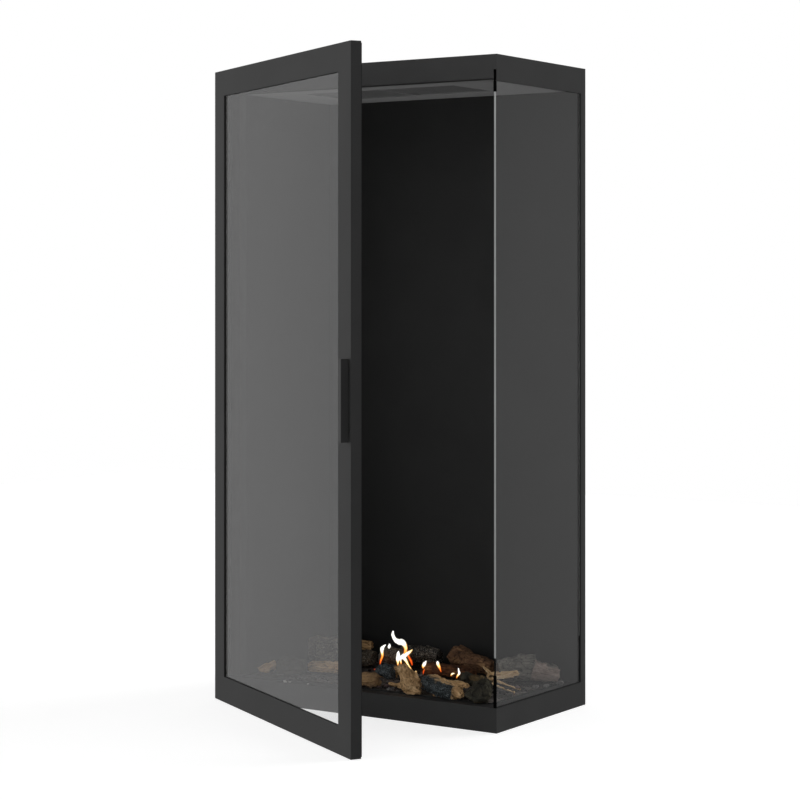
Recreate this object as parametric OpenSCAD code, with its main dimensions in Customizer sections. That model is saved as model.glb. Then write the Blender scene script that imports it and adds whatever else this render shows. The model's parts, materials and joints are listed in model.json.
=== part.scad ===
// Corner gas fireplace: a tall slim casing, glass on the front and the right side,
// a full-height hinged front door, and a ceramic log set on a burner tray.
// Millimetres. Origin at the middle of the base, +Z up, the front is -Y, the glass side is +X.

/* [Casing] */
// Width of the casing
body_w = 640; // [560:1:900]
// Depth of the casing, front plane to back plane
body_d = 338; // [320:1:420]
// Height of the casing
body_h = 1250; // [900:1:1600]
// Height of the bottom rails
sill_h = 46; // [44:0.5:70]
// Height of the front top rail
header_h = 44.5; // [44:0.5:60]
// Height of the side top rail
side_header_h = 50; // [49:0.5:70]
// Depth of the rails, measured inwards from the outside
rail_d = 28; // [26:0.5:40]
// Wall of the rails and posts
rail_t = 2; // [1.5:0.1:2.5]
// Sheet of the outer panels
panel_t = 1.5; // [1:0.1:2]
// Sheet of the fire chamber lining
liner_t = 3; // [2:0.1:4]
// Air gap behind the chamber back
back_gap = 16.5; // [12:0.5:24]
// Width of the left post
post_w = 42; // [40:0.5:60]
// Width of the left post's front land, before its step
post_land = 23; // [22:0.5:30]
// Depth of the left post's step
post_step = 6; // [3:0.5:8]
// Width of the rear right post
rear_post = 18; // [14:0.5:24]
// Gap between parts that are assembled side by side
fit = 0.2; // [0.1:0.05:0.3]

/* [Side glass] */
// Thickness of the ceramic side glass
glass_t = 4; // [3:0.5:5]
// Distance from the side plane to the glass
glass_inset = 2; // [1.6:0.1:3]
// Side play of the glass in its slots
glass_play = 0.4; // [0.3:0.05:0.6]
// Depth of the glass slot in the bottom rail
slot_deep = 10; // [8:0.5:14]
// Depth of the glass slot in the top rail
slot_high = 22; // [18:0.5:26]
// How far the glass front edge lies behind the front plane
glass_back = 1; // [0.5:0.1:2]
// Height of the blocks that the glass stands on
setting_h = 2; // [1:0.5:3]
// Height of the sealing beads at the foot of the glass
bead_h = 1; // [0.5:0.1:4]
// Width of a sealing bead
bead_w = 1.6; // [1.2:0.1:1.8]
// Depth of the seal at the back edge of the glass
back_seal = 2.5; // [2:0.1:4]
// Length of the upper clip on the glass front edge
clip_len = 41; // [30:1:60]
// Length of the lower clip on the glass front edge
low_clip_len = 60; // [30:1:100]
// Sheet of the edge clips
clip_t = 0.8; // [0.5:0.1:0.9]
// Depth of the edge clips' cheeks
clip_cheek = 2; // [1.8:0.1:2.8]

/* [Ceiling] */
// Width of one grille opening
grille_w = 170.5; // [120:0.5:200]
// Depth of one grille opening
grille_d = 148; // [100:1:170]
// Width of the bar between the two grille openings
grille_bar = 3; // [2:0.5:6]
// Distance from the front plane to the grille openings
grille_front = 84; // [60:1:100]
// Sheet of the ceiling plate
ceiling_t = 2; // [1.5:0.1:3]
// Sheet of the perforated grille panels
mesh_t = 1; // [0.8:0.1:1.5]
// Width of the square holes in a grille panel
mesh_hole = 6; // [4:0.5:8]
// Web between the square holes
mesh_web = 3; // [2:0.5:4]
// How far a grille panel laps onto the ceiling plate
mesh_lap = 6; // [4:0.5:10]

/* [Flue] */
// Height of the exhaust plenum above the ceiling
plenum_h = 30; // [20:1:34]
// Margin of the plenum round the grille openings
plenum_margin = 16; // [10:1:24]
// Outside diameter of the inner flue spigot
flue_in_d = 102; // [80:1:120]
// Outside diameter of the outer flue spigot
flue_out_d = 150; // [130:1:180]
// Wall of both flue spigots
flue_t = 1; // [0.8:0.1:2]
// Height of the spigots above the top cover
flue_h = 15; // [12:0.5:20]
// Width of the spigot flanges
flue_flange = 10; // [6:1:12]
// Distance from the back plane to the flue centre
flue_back = 100; // [92:1:130]

/* [Hearth] */
// Sheet of the base pan
base_t = 2; // [1.5:0.1:3]
// Height of the base pan's upturned edge
base_lip = 15; // [10:1:20]
// Sheet of the hearth plate
hearth_t = 2; // [1.5:0.1:3]
// How far the hearth plate lies below the rail tops
hearth_drop = 3; // [2.5:0.5:6]
// Distance from the front plane to the burner tray
tray_front = 30; // [28.5:0.5:40]
// Margin between the burner tray and the chamber walls
tray_margin = 3; // [2:0.5:10]
// Sheet of the burner tray
tray_t = 1.5; // [1:0.1:2]
// Height of the burner tray's rim
tray_h = 5; // [4:0.5:8]
// Thickness of the ember bed at its crests
bed_h = 5; // [4:0.5:8]
// Depth of the hollows in the ember bed
bed_dip = 2.5; // [1:0.5:3]
// Width of the chamber that the log set is laid out for
log_set_w = 592; // [500:1:700]
// Depth of the chamber that the log set is laid out for
log_set_d = 317; // [280:1:400]

/* [Gas train] */
// Outside diameter of the burner tube
burner_d = 20; // [16:1:24]
// Wall of the burner tube
burner_t = 1.5; // [1:0.1:2]
// Length of the burner tube
burner_len = 350; // [200:1:420]
// Diameter of a burner port
port_d = 2; // [1.5:0.1:3]
// Spacing of the burner ports
port_pitch = 14; // [10:1:20]
// Width of the flame slot above the burner
flame_slot = 12; // [8:1:16]
// Outside diameter of the gas pipe
pipe_d = 8; // [6:1:10]
// Bend radius of the gas pipe, to its centre line
pipe_bend = 25; // [20:1:40]
// Outside diameter of the gas inlet nipple
inlet_d = 16.6; // [13:0.1:17]
// Height of the gas train above the floor
gas_z = 24; // [22:0.5:26]
// Distance from the casing's middle to the gas inlet, to the left
inlet_x = 200; // [180:1:220]
// Distance from the back plane to the gas inlet tab
inlet_tab = 30; // [28:1:50]
// Width of the gas inlet tab
tab_w = 44; // [34:1:60]
// Width of the gas opening in the rear panel
gas_hole_w = 60; // [50:1:80]
// Size across the corners of the inlet nuts
inlet_nut = 26; // [22:0.5:28]

/* [Wall fixing] */
// Spacing of the wall fixing holes across the back
fixing_w = 500; // [300:10:560]
// Spacing of the wall fixing holes up the back
fixing_h = 1050; // [700:10:1100]
// Diameter of a wall fixing hole
fixing_d = 9; // [6:0.5:12]

/* [Door] */
// Width of the door
door_w = 638; // [550:1:898]
// Thickness of the door
door_t = 20; // [18:0.5:26]
// Angle by which the door stands open
door_open = 30; // [0:1:90]
// Gap between the closed door and the casing
door_gap = 2; // [1.9:0.1:2.5]
// Gap under the door and over it
door_clear = 1; // [0.5:0.5:4]
// Height of the door's top and bottom rails
door_rail = 50; // [45:0.5:70]
// Width of the stile at the hinges
hinge_stile = 47.5; // [44:0.5:70]
// Width of the stile at the handle
lock_stile = 52.5; // [44:0.5:70]
// Thickness of the lip in front of the door glass
lip_t = 2.2; // [1.5:0.1:3]
// Width of the rebate that the door glass sits in
rebate = 9; // [6:0.5:12]
// Width of the ledge for the glass retainers
ledge = 6; // [5:0.5:8]
// Wall of the door frame
door_wall = 2; // [1.5:0.1:2.5]
// Width of the solid bar along the hinge edge
hinge_bar = 18; // [16:0.5:20]
// Chamfer on the door's rear edge at the hinges
hinge_chamfer = 4; // [4:0.5:5]
// Thickness of the door glass
door_glass_t = 4; // [3:0.5:5]
// Thickness of the gasket behind the lip
lip_seal = 0.8; // [0.5:0.1:1.5]
// How far the lip gasket shows inside the lip
seal_show = 0.8; // [0.4:0.1:1.5]
// Thickness of a glass retainer strip
retainer_t = 2; // [1.5:0.1:3]
// Thickness of the door gasket
gasket_t = 1.7; // [1.5:0.1:1.8]
// Width of the door gasket
gasket_w = 6; // [4:0.5:7]

/* [Hinges] */
// Distance from the casing's left side to the hinge axis
axis_x = 8; // [7.5:0.1:9]
// Distance from the front plane to the hinge axis
axis_y = 9; // [8.8:0.1:10]
// Outside diameter of the hinge knuckles
knuckle_d = 12; // [11:0.1:12]
// Diameter of the hinge pins
pin_d = 6; // [5:0.1:7]
// Radial running clearance on the hinge pins
pin_play = 0.05; // [0.03:0.01:0.09]
// Length of one hinge
hinge_len = 76; // [60:1:120]
// Running gap between two knuckles
knuckle_gap = 0.3; // [0.2:0.05:0.5]
// Sheet of the hinge leaves
leaf_t = 1.5; // [1.2:0.1:1.8]
// Width of a casing leaf, from the hinge axis
casing_leaf = 14; // [12:0.5:16]
// Width of a door leaf, from the hinge axis
door_leaf = 21.8; // [20:0.1:24]
// Distance from the door's ends to the middle of a hinge
hinge_end = 180; // [120:1:260]

/* [Handle] */
// Length of the pull handle
handle_len = 145; // [100:1:300]
// Width of the pull handle
handle_w = 10; // [6:0.5:14]
// How far the handle stands out from the door
handle_out = 16.6; // [14:0.1:30]
// Shadow gap between the handle and the door
handle_gap = 2; // [1.5:0.5:4]
// Distance from the door's free edge to the handle
handle_edge = 5.5; // [4:0.5:12]
// Height of the middle of the handle
handle_mid = 623.5; // [500:0.5:900]
// Diameter of the handle screws
handle_screw_d = 5; // [4:0.5:5]

/* [Hidden] */
$fn = 48;
eps = 0.01;

paint = [0.22, 0.22, 0.22];
lining = [0.10, 0.10, 0.10];
steel = [0.62, 0.62, 0.60];
brass = [0.72, 0.58, 0.30];
glass_tint = [0.35, 0.37, 0.38, 0.45];
rubber = [0.04, 0.04, 0.04];
bark = [0.16, 0.13, 0.11];
split_wood = [0.45, 0.34, 0.22];
ash = [0.20, 0.18, 0.17];

x_left = -body_w / 2;
x_right = body_w / 2;
y_front = -body_d / 2;
y_back = body_d / 2;
ceiling_z = body_h - header_h;
lining_x = x_left + post_w;
lining_y = y_back - panel_t - back_gap - liner_t;
hearth_z = sill_h - hearth_drop;
glass_x = x_right - glass_inset - glass_t;
slot_x = glass_x - glass_play;
slot_w = glass_t + 2 * glass_play;
glass_y0 = y_front + glass_back;
seal_y = y_back - rear_post - back_seal;
glass_y1 = seal_y + back_seal / 2;
glass_z0 = sill_h - slot_deep + setting_h + fit;
glass_z1 = body_h - side_header_h + slot_high - 1;
rail_x = x_right - rail_d;
rail_y = y_front + rail_d;

// A box given by its two opposite corners.
module block(a, b) {
    translate(a) cube(b - a);
}

// A section drawn in Y (outwards, zero at the front plane) and Z, run along X.
module run_x(x0, x1) {
    translate([x0, y_front, 0]) rotate([90, 0, 90]) linear_extrude(x1 - x0) children();
}

// A section drawn in X (inwards, zero at the right plane) and Z, run along Y.
module run_y(y0, y1) {
    translate([x_right, y1, 0]) rotate([90, 0, 0]) linear_extrude(y1 - y0) children();
}

// Everything on the front rail's side of the mitre at the front right corner.
module front_of_mitre() {
    linear_extrude(body_h) polygon([[x_left - 1, y_front - 1], [x_right + 1, y_front - 1],
        [rail_x - 1, rail_y + 1], [x_left - 1, rail_y + 1]]);
}

// Everything on the side rail's side of the mitre at the front right corner.
module side_of_mitre() {
    linear_extrude(body_h) polygon([[x_right + 1, y_front - 1], [x_right + 1, y_back + 1],
        [rail_x - 1, y_back + 1], [rail_x - 1, rail_y + 1]]);
}

module front_sill() {
    color(paint) intersection() {
        run_x(x_left, x_right) difference() {
            square([rail_d, sill_h]);
            translate([rail_t, rail_t]) square([rail_d - 2 * rail_t, sill_h - 2 * rail_t]);
        }
        difference() {
            front_of_mitre();
            glass_slot_low();
        }
    }
}

// The slot in the bottom rails that the side glass stands in.
module glass_slot_low() {
    block([slot_x, glass_y0 - glass_play, sill_h - slot_deep], [slot_x + slot_w, y_back + 1, body_h]);
}

module side_sill() {
    inner = x_right - slot_x + rail_t;
    color(paint) intersection() {
        difference() {
            run_y(y_front, y_back) difference() {
                translate([-rail_d, 0]) square([rail_d, sill_h]);
                translate([rail_t - rail_d, rail_t])
                    square([rail_d - inner, sill_h - 2 * rail_t]);
                translate([-inner - eps, rail_t])
                    square([inner - rail_t, sill_h - slot_deep - 2 * rail_t]);
            }
            glass_slot_low();
        }
        side_of_mitre();
    }
}

module front_header() {
    color(paint) intersection() {
        difference() {
            run_x(x_left, x_right) difference() {
                translate([0, ceiling_z]) square([rail_d, header_h]);
                translate([rail_t, ceiling_z + rail_t])
                    square([rail_d - 2 * rail_t, header_h - 2 * rail_t]);
            }
            block([slot_x, y_front - 1, 0],
                [x_right + 1, rail_y + 1, body_h - side_header_h + slot_high]);
        }
        front_of_mitre();
    }
}

module side_header() {
    inner = x_right - slot_x;
    z0 = body_h - side_header_h;
    color(paint) intersection() {
        difference() {
            union() {
                run_y(y_front, y_back) difference() {
                    union() {
                        translate([-rail_d, ceiling_z]) square([rail_d, header_h]);
                        translate([slot_w - inner, z0]) square([inner - slot_w, side_header_h]);
                    }
                    translate([rail_t - rail_d, ceiling_z + rail_t])
                        square([rail_d - inner - 2 * rail_t, header_h - 2 * rail_t]);
                }
                block([rail_x, seal_y + back_seal + fit, z0], [x_right, y_back, ceiling_z + 1]);
            }
            block([slot_x, y_front - 1, z0 - 1], [slot_x + slot_w, seal_y + back_seal, z0 + slot_high]);
        }
        side_of_mitre();
    }
}

module front_left_post() {
    color(paint) difference() {
        translate([x_left, y_front, sill_h + fit]) linear_extrude(ceiling_z - sill_h - 2 * fit)
            difference() {
                polygon([[0, 0], [post_land, 0], [post_land, post_step], [post_w, post_step],
                    [post_w, rail_d], [0, rail_d]]);
                polygon([[rail_t, rail_t + 1], [post_land - rail_t, rail_t + 1],
                    [post_land - rail_t, post_step + rail_t], [post_w - rail_t, post_step + rail_t],
                    [post_w - rail_t, rail_d - rail_t], [rail_t, rail_d - rail_t]]);
            }
        for (z = hinge_zs) block([pivot_x - leaf_back - 0.3, y_front - 1, z - hinge_len / 2 - fit],
            [pivot_x + casing_leaf + 0.3, y_front + leaf_t + fit / 2, z + hinge_len / 2 + fit]);
    }
}

module rear_corner_post() {
    x0 = x_right - rear_post;
    z0 = sill_h + fit;
    h = body_h - side_header_h - fit - z0;
    color(paint) translate([x0, y_back - rear_post, z0]) linear_extrude(h) difference() {
        square(rear_post);
        translate([rail_t, rail_t]) square(rear_post - 2 * rail_t);
    }
}

module left_side_panel() {
    color(paint) block([x_left, rail_y + fit, 0], [x_left + panel_t, y_back, body_h - panel_t - fit]);
}

module rear_panel() {
    x0 = x_left + panel_t + fit;
    z1 = body_h - panel_t - fit;
    color(paint) difference() {
        block([x0, y_back - panel_t, 0], [x_right - rail_d - fit, y_back, z1]);
        for (x = [-1, 1], z = [-1, 1])
            translate([x * fixing_w / 2, y_back, body_h / 2 + z * fixing_h / 2])
                rotate([90, 0, 0]) cylinder(d = fixing_d, h = 3 * panel_t, center = true);
        block([-inlet_x - gas_hole_w / 2, y_back - panel_t - 1, gas_hole_z[0]],
            [-inlet_x + gas_hole_w / 2, y_back + 1, gas_hole_z[1]]);
    }
}

module top_cover() {
    color(paint) difference() {
        block([x_left, rail_y + fit, body_h - panel_t], [rail_x - fit, y_back, body_h]);
        translate([0, flue_y, body_h - 2 * panel_t])
            cylinder(d = flue_out_d - 2 * flue_t, h = 4 * panel_t, $fn = 96);
        for (p = screw_spots) translate([p[0], p[1], body_h - 2 * panel_t])
            cylinder(d = screw_d + 2 * fit, h = 4 * panel_t, $fn = 24);
    }
}

flue_y = y_back - flue_back;
screw_in = 10;
screw_d = 4;
head_d = 8;
head_h = 1.8;
screw_len = 8;
cover_x = (x_left + rail_x) / 2;
screw_reach = (body_w - rail_d - 2 * screw_in) / 2;
screw_spots = [
    for (x = [-1, 0, 1], y = [rail_y + screw_in, y_back - screw_in]) [cover_x + x * screw_reach, y],
    for (x = [-1, 1]) [cover_x + x * screw_reach, (rail_y + y_back) / 2]];

module casing_screws() {
    color(steel) for (p = screw_spots) translate([p[0], p[1], body_h + 0.05]) {
        difference() {
            cylinder(d1 = head_d, d2 = head_d - 1, h = head_h, $fn = 24);
            translate([0, 0, head_h / 2]) cylinder(d1 = 2.4, d2 = 2.8, h = head_h, $fn = 24);
        }
        translate([0, 0, -screw_len]) cylinder(d = screw_d, h = screw_len + 0.05, $fn = 24);
    }
}

module back_liner() {
    x1 = glass_x - bead_w;
    color(lining) difference() {
        block([lining_x - liner_t, lining_y, hearth_z + fit], [x1, lining_y + liner_t, ceiling_z - fit]);
        block([rail_x - fit, lining_y - 1, 0], [x_right, y_back, sill_h + fit]);
    }
}

module left_liner() {
    color(lining) block([lining_x - liner_t, rail_y + fit, hearth_z + fit],
        [lining_x, lining_y - fit, ceiling_z - fit]);
}

grille_y = y_front + grille_front;

// The two grille openings, one each side of the bar.
module both_grilles(margin, z0, z1) {
    for (s = [-1, 1]) {
        x0 = s > 0 ? grille_bar / 2 : -grille_bar / 2 - grille_w;
        block([x0 - margin, grille_y - margin, z0], [x0 + grille_w + margin, grille_y + grille_d + margin, z1]);
    }
}

module ceiling_plate() {
    color([0.32, 0.32, 0.32]) difference() {
        block([lining_x - liner_t, rail_y + fit, ceiling_z],
            [rail_x - fit, lining_y + liner_t, ceiling_z + ceiling_t]);
        both_grilles(0, ceiling_z - 1, ceiling_z + ceiling_t + 1);
    }
}

// A perforated sheet: square holes on a square grid, centred in the opening.
module grille_sheet(w, d) {
    pitch = mesh_hole + mesh_web;
    nx = floor((grille_w + mesh_web) / pitch);
    ny = floor((grille_d + mesh_web) / pitch);
    x0 = mesh_lap / 2 + (w - mesh_lap / 2 - mesh_lap - nx * pitch + mesh_web) / 2;
    y0 = mesh_lap + (d - 2 * mesh_lap - ny * pitch + mesh_web) / 2;
    holes = [for (i = [0 : nx - 1], j = [0 : ny - 1]) [x0 + i * pitch, y0 + j * pitch]];
    corners = [[0, 0], [mesh_hole, 0], [mesh_hole, mesh_hole], [0, mesh_hole]];
    points = concat([[0, 0], [w, 0], [w, d], [0, d]], [for (h = holes) for (c = corners) h + c]);
    paths = [for (k = [0 : len(holes)]) [for (m = [0 : 3]) 4 * k + m]];
    linear_extrude(mesh_t) polygon(points, paths);
}

mesh_w = grille_w + mesh_lap + grille_bar / 2 - fit;
mesh_d = grille_d + 2 * mesh_lap;

module ceiling_grille_right() {
    color(lining) translate([fit, grille_y - mesh_lap, ceiling_z + ceiling_t + 0.1])
        grille_sheet(mesh_w, mesh_d);
}

module ceiling_grille_left() {
    color(lining) mirror([1, 0, 0]) translate([fit, grille_y - mesh_lap, ceiling_z + ceiling_t + 0.1])
        grille_sheet(mesh_w, mesh_d);
}

plenum_x = grille_bar / 2 + grille_w + plenum_margin;
plenum_z = ceiling_z + ceiling_t + 0.1;

module exhaust_plenum() {
    y0 = grille_y - plenum_margin;
    y1 = lining_y + liner_t;
    color(steel) difference() {
        block([-plenum_x, y0, plenum_z], [plenum_x, y1, plenum_z + plenum_h]);
        block([panel_t - plenum_x, y0 + panel_t, plenum_z - 1],
            [plenum_x - panel_t, y1 - panel_t, plenum_z + plenum_h - panel_t]);
        translate([0, flue_y, plenum_z]) cylinder(d = flue_in_d - 2 * flue_t, h = 2 * plenum_h, $fn = 96);
    }
}

// A round spigot with a flange at its foot.
module spigot(d, z0, z1) {
    translate([0, flue_y, z0]) difference() {
        union() {
            cylinder(d = d, h = z1 - z0, $fn = 96);
            cylinder(d = d + 2 * flue_flange, h = panel_t, $fn = 96);
        }
        translate([0, 0, -1]) cylinder(d = d - 2 * flue_t, h = z1 - z0 + 2, $fn = 96);
    }
}

module flue_inner_spigot() {
    color(steel) spigot(flue_in_d, plenum_z + plenum_h + 0.1, body_h + flue_h);
}

module flue_outer_spigot() {
    color(steel) spigot(flue_out_d, body_h + 0.1, body_h + flue_h);
}

module side_glass() {
    color(glass_tint) block([glass_x, glass_y0, glass_z0], [glass_x + glass_t, glass_y1, glass_z1]);
}

module glass_setting_blocks() {
    z0 = sill_h - slot_deep + fit / 2;
    color(rubber) for (s = [-1, 1]) translate([glass_x, s * body_d / 4 - 20, z0])
        cube([glass_t, 40, setting_h]);
}

module side_glass_seals() {
    color(rubber) {
        for (x = [glass_x - bead_w - 0.1, glass_x + glass_t + 0.1])
            block([x, y_front + clip_cheek + 1, sill_h + 0.1],
                [x + bead_w, lining_y - fit, sill_h + 0.1 + bead_h]);
        difference() {
            block([glass_x - bead_w + 0.1, seal_y, sill_h + 0.1],
                [glass_x + glass_t + bead_w - 0.1, seal_y + back_seal, body_h - side_header_h - fit]);
            block([glass_x - 0.1, seal_y - 1, 0], [glass_x + glass_t + 0.1, glass_y1 + 0.1, body_h]);
        }
    }
}

// A clip on the bare front edge of the glass: cheeks up to one height, its face up to another.
module edge_clip(z0, cheek_z1, face_z1) {
    difference() {
        block([glass_x - clip_t - 0.1, y_front, z0],
            [glass_x + glass_t + clip_t + 0.1, y_front + clip_cheek, cheek_z1]);
        block([glass_x - 0.1, glass_y0 - 0.1, z0 - 1], [glass_x + glass_t + 0.1, 0, body_h]);
    }
    block([glass_x - 0.1, y_front, z0], [glass_x + glass_t + 0.1, glass_y0 - 0.1, face_z1]);
}

module side_glass_clip() {
    z0 = sill_h + 0.1;
    z1 = body_h - side_header_h + slot_high - 0.5;
    color(rubber) {
        edge_clip(z0, z0 + low_clip_len, z0 + low_clip_len);
        edge_clip(z1 - clip_len, body_h - side_header_h - fit, z1);
    }
}

gas_hole_z = [4, 40];
saddle_t = 3;
saddle_rim = 4;

module base_pan() {
    x0 = x_left + panel_t + fit;
    x1 = rail_x - fit;
    y0 = rail_y + fit;
    y1 = y_back - panel_t - fit;
    tab_y = y_back - inlet_tab;
    color(steel) difference() {
        union() {
            difference() {
                block([x0, y0, 0], [x1, y1, base_lip]);
                block([x0 + base_t, y0 + base_t, base_t], [x1 - base_t, y1 - base_t, base_lip + 1]);
            }
            block([-inlet_x - tab_w / 2, tab_y, base_t - eps],
                [-inlet_x + tab_w / 2, tab_y + base_t, hearth_z - hearth_t - 1]);
            for (x = [0.15, 0.85]) translate([burner_x + x * burner_len, burner_y, 0])
                block([-saddle_t / 2, -burner_d / 2 - saddle_rim, base_t - eps],
                    [saddle_t / 2, burner_d / 2 + saddle_rim, gas_z]);
        }
        translate([-inlet_x, tab_y, gas_z]) rotate([-90, 0, 0])
            cylinder(d = inlet_d + 1, h = 3 * base_t, center = true, $fn = 48);
        translate([burner_x, burner_y, gas_z]) rotate([0, 90, 0])
            cylinder(d = burner_d + 2 * fit, h = burner_len, $fn = 48);
        block([-inlet_x - gas_hole_w / 2, y1 - base_t - 1, gas_hole_z[0]],
            [-inlet_x + gas_hole_w / 2, y1 + 1, base_lip + 1]);
    }
}

// The slot over the burner, up to a height.
module flame_opening(z1) {
    block([burner_x + slot_in, burner_y - flame_slot / 2, 0],
        [burner_x + burner_len - slot_in, burner_y + flame_slot / 2, z1]);
}

module hearth_plate() {
    x0 = lining_x - liner_t;
    x1 = rail_x - fit;
    y0 = rail_y + fit;
    y1 = lining_y + liner_t;
    color(lining) difference() {
        block([x0, y0, base_lip + fit], [x1, y1, hearth_z]);
        block([x0 + hearth_t, y0 + hearth_t, 0], [x1 - hearth_t, y1 - hearth_t, hearth_z - hearth_t]);
        flame_opening(hearth_z + 1);
        block([-inlet_x - gas_hole_w / 2, y1 - hearth_t - 1, 0],
            [-inlet_x + gas_hole_w / 2, y1 + 1, hearth_z - hearth_t - 1]);
    }
}

tray_z = hearth_z + fit / 2;
tray_x0 = lining_x + tray_margin;
tray_x1 = rail_x - tray_margin;
tray_y0 = y_front + tray_front;
tray_y1 = lining_y - tray_margin;

module burner_tray() {
    color(lining) difference() {
        block([tray_x0, tray_y0, tray_z], [tray_x1, tray_y1, tray_z + tray_h]);
        block([tray_x0 + tray_t, tray_y0 + tray_t, tray_z + tray_t],
            [tray_x1 - tray_t, tray_y1 - tray_t, tray_z + tray_h + 1]);
        flame_opening(body_h);
    }
}

burner_x = -burner_len / 2 + 25;
burner_y = 5;
slot_in = 10;
port_in = 30;

module burner_tube() {
    ports = floor((burner_len - 2 * port_in) / port_pitch);
    color(steel) translate([burner_x, burner_y, gas_z]) difference() {
        rotate([0, 90, 0]) cylinder(d = burner_d, h = burner_len, $fn = 64);
        translate([burner_t, 0, 0]) rotate([0, 90, 0])
            cylinder(d = burner_d - 2 * burner_t, h = burner_len - 2 * burner_t, $fn = 64);
        translate([-1, 0, 0]) rotate([0, 90, 0]) cylinder(d = pipe_d, h = 3 * burner_t, $fn = 32);
        for (i = [0 : ports]) translate([port_in + i * port_pitch, 0, 0])
            cylinder(d = port_d, h = burner_d, $fn = 16);
    }
}

// A round pipe along +Z from the origin.
module pipe(d, t, h) {
    difference() {
        cylinder(d = d, h = h, $fn = 32);
        translate([0, 0, -1]) cylinder(d = d - 2 * t, h = h + 2, $fn = 32);
    }
}

pipe_wall = 1;
inlet_hex = 11;

module gas_pipe() {
    start_y = y_back - inlet_tab - inlet_hex - fit;
    end_x = burner_x - fit;
    color(brass) translate([0, 0, gas_z]) {
        translate([-inlet_x, start_y, 0]) rotate([90, 0, 0])
            pipe(pipe_d, pipe_wall, start_y - burner_y - pipe_bend);
        translate([pipe_bend - inlet_x, burner_y + pipe_bend, 0]) rotate([0, 0, 180])
            rotate_extrude(angle = 90, $fn = 48) translate([pipe_bend, 0]) difference() {
                circle(d = pipe_d, $fn = 32);
                circle(d = pipe_d - 2 * pipe_wall, $fn = 32);
            }
        translate([pipe_bend - inlet_x, burner_y, 0]) rotate([0, 90, 0])
            pipe(pipe_d, pipe_wall, end_x - pipe_bend + inlet_x);
    }
}

module gas_inlet() {
    tab_y = y_back - inlet_tab;
    color(brass) translate([-inlet_x, 0, gas_z]) rotate([-90, 0, 0]) difference() {
        union() {
            translate([0, 0, tab_y - inlet_hex]) cylinder(d = inlet_nut, h = inlet_hex - 0.1, $fn = 6);
            translate([0, 0, tab_y - 1]) cylinder(d = inlet_d, h = inlet_tab - panel_t - 6, $fn = 48);
            translate([0, 0, tab_y + base_t + 0.1]) cylinder(d = inlet_nut, h = inlet_hex / 2, $fn = 6);
        }
        translate([0, 0, tab_y - inlet_hex - 1]) cylinder(d = pipe_d, h = inlet_tab + inlet_hex, $fn = 32);
    }
}

spark_x = -128;
spark_y = lining_y - 26;
spark_foot = [28, 14, 1.5];
spark_gap = 14;
spark_post_h = 17;
bed_z0 = tray_z + tray_t + fit;
bed_top = bed_z0 + bed_h;

// Two rods in ceramic posts on one small foot plate.
module ignition_electrodes() {
    color([0.75, 0.72, 0.66]) translate([spark_x, spark_y, bed_z0]) {
        translate([-spark_foot[0] / 2, -spark_foot[1] / 2, 0]) cube(spark_foot);
        for (x = [-1, 1]) translate([x * spark_gap / 2, 0, spark_foot[2] - 0.1]) {
            cylinder(d = 8, h = spark_post_h, $fn = 32);
            translate([0, 0, spark_post_h - 0.1]) cylinder(d1 = 6, d2 = 4, h = 3, $fn = 32);
            translate([0, 0, spark_post_h + 2.8]) cylinder(d = 1.6, h = 9, $fn = 16);
        }
    }
}

bed_nx = 26;
bed_ny = 12;

// Height of the loose bed over its cell corner: crests at bed_h, hollows bed_dip below.
function bed_rise(i, j) = bed_h - bed_dip * pow(0.5 + 0.5 * sin(137 * i + 61 * j) * cos(83 * i - 149 * j), 2);

module ember_bed() {
    x0 = tray_x0 + tray_t + 1;
    y0 = tray_y0 + tray_t + 1;
    dx = (tray_x1 - tray_t - 1 - x0) / bed_nx;
    dy = (tray_y1 - tray_t - 1 - y0) / bed_ny;
    row = bed_nx + 1;
    count = row * (bed_ny + 1);
    top = [for (j = [0 : bed_ny], i = [0 : bed_nx]) [x0 + i * dx, y0 + j * dy, bed_z0 + bed_rise(i, j)]];
    low = [for (p = top) [p[0], p[1], bed_z0]];
    cells = [for (j = [0 : bed_ny - 1], i = [0 : bed_nx - 1]) j * row + i];
    faces = concat(
        [for (c = cells) each [[c, c + row, c + row + 1], [c, c + row + 1, c + 1]]],
        [for (c = cells) each [[count + c, count + c + row + 1, count + c + row],
            [count + c, count + c + 1, count + c + row + 1]]],
        [for (i = [0 : bed_nx - 1]) each [[i, i + 1, count + i + 1], [i, count + i + 1, count + i]]],
        [for (i = [0 : bed_nx - 1]) let (k = bed_ny * row + i)
            each [[k + 1, k, count + k], [k + 1, count + k, count + k + 1]]],
        [for (j = [0 : bed_ny - 1]) let (k = j * row)
            each [[k + row, k, count + k], [k + row, count + k, count + k + row]]],
        [for (j = [0 : bed_ny - 1]) let (k = j * row + bed_nx)
            each [[k, k + row, count + k + row], [k, count + k + row, count + k]]]);
    color(ash) difference() {
        polyhedron(concat(top, low), faces);
        translate([spark_x, spark_y, 0]) block([-spark_foot[0] / 2 - 2, -spark_foot[1] / 2 - 2, 0],
            [spark_foot[0] / 2 + 2, lining_y - spark_y, body_h]);
    }
}

seat = 0.35;
log_sides = 12;

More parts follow.
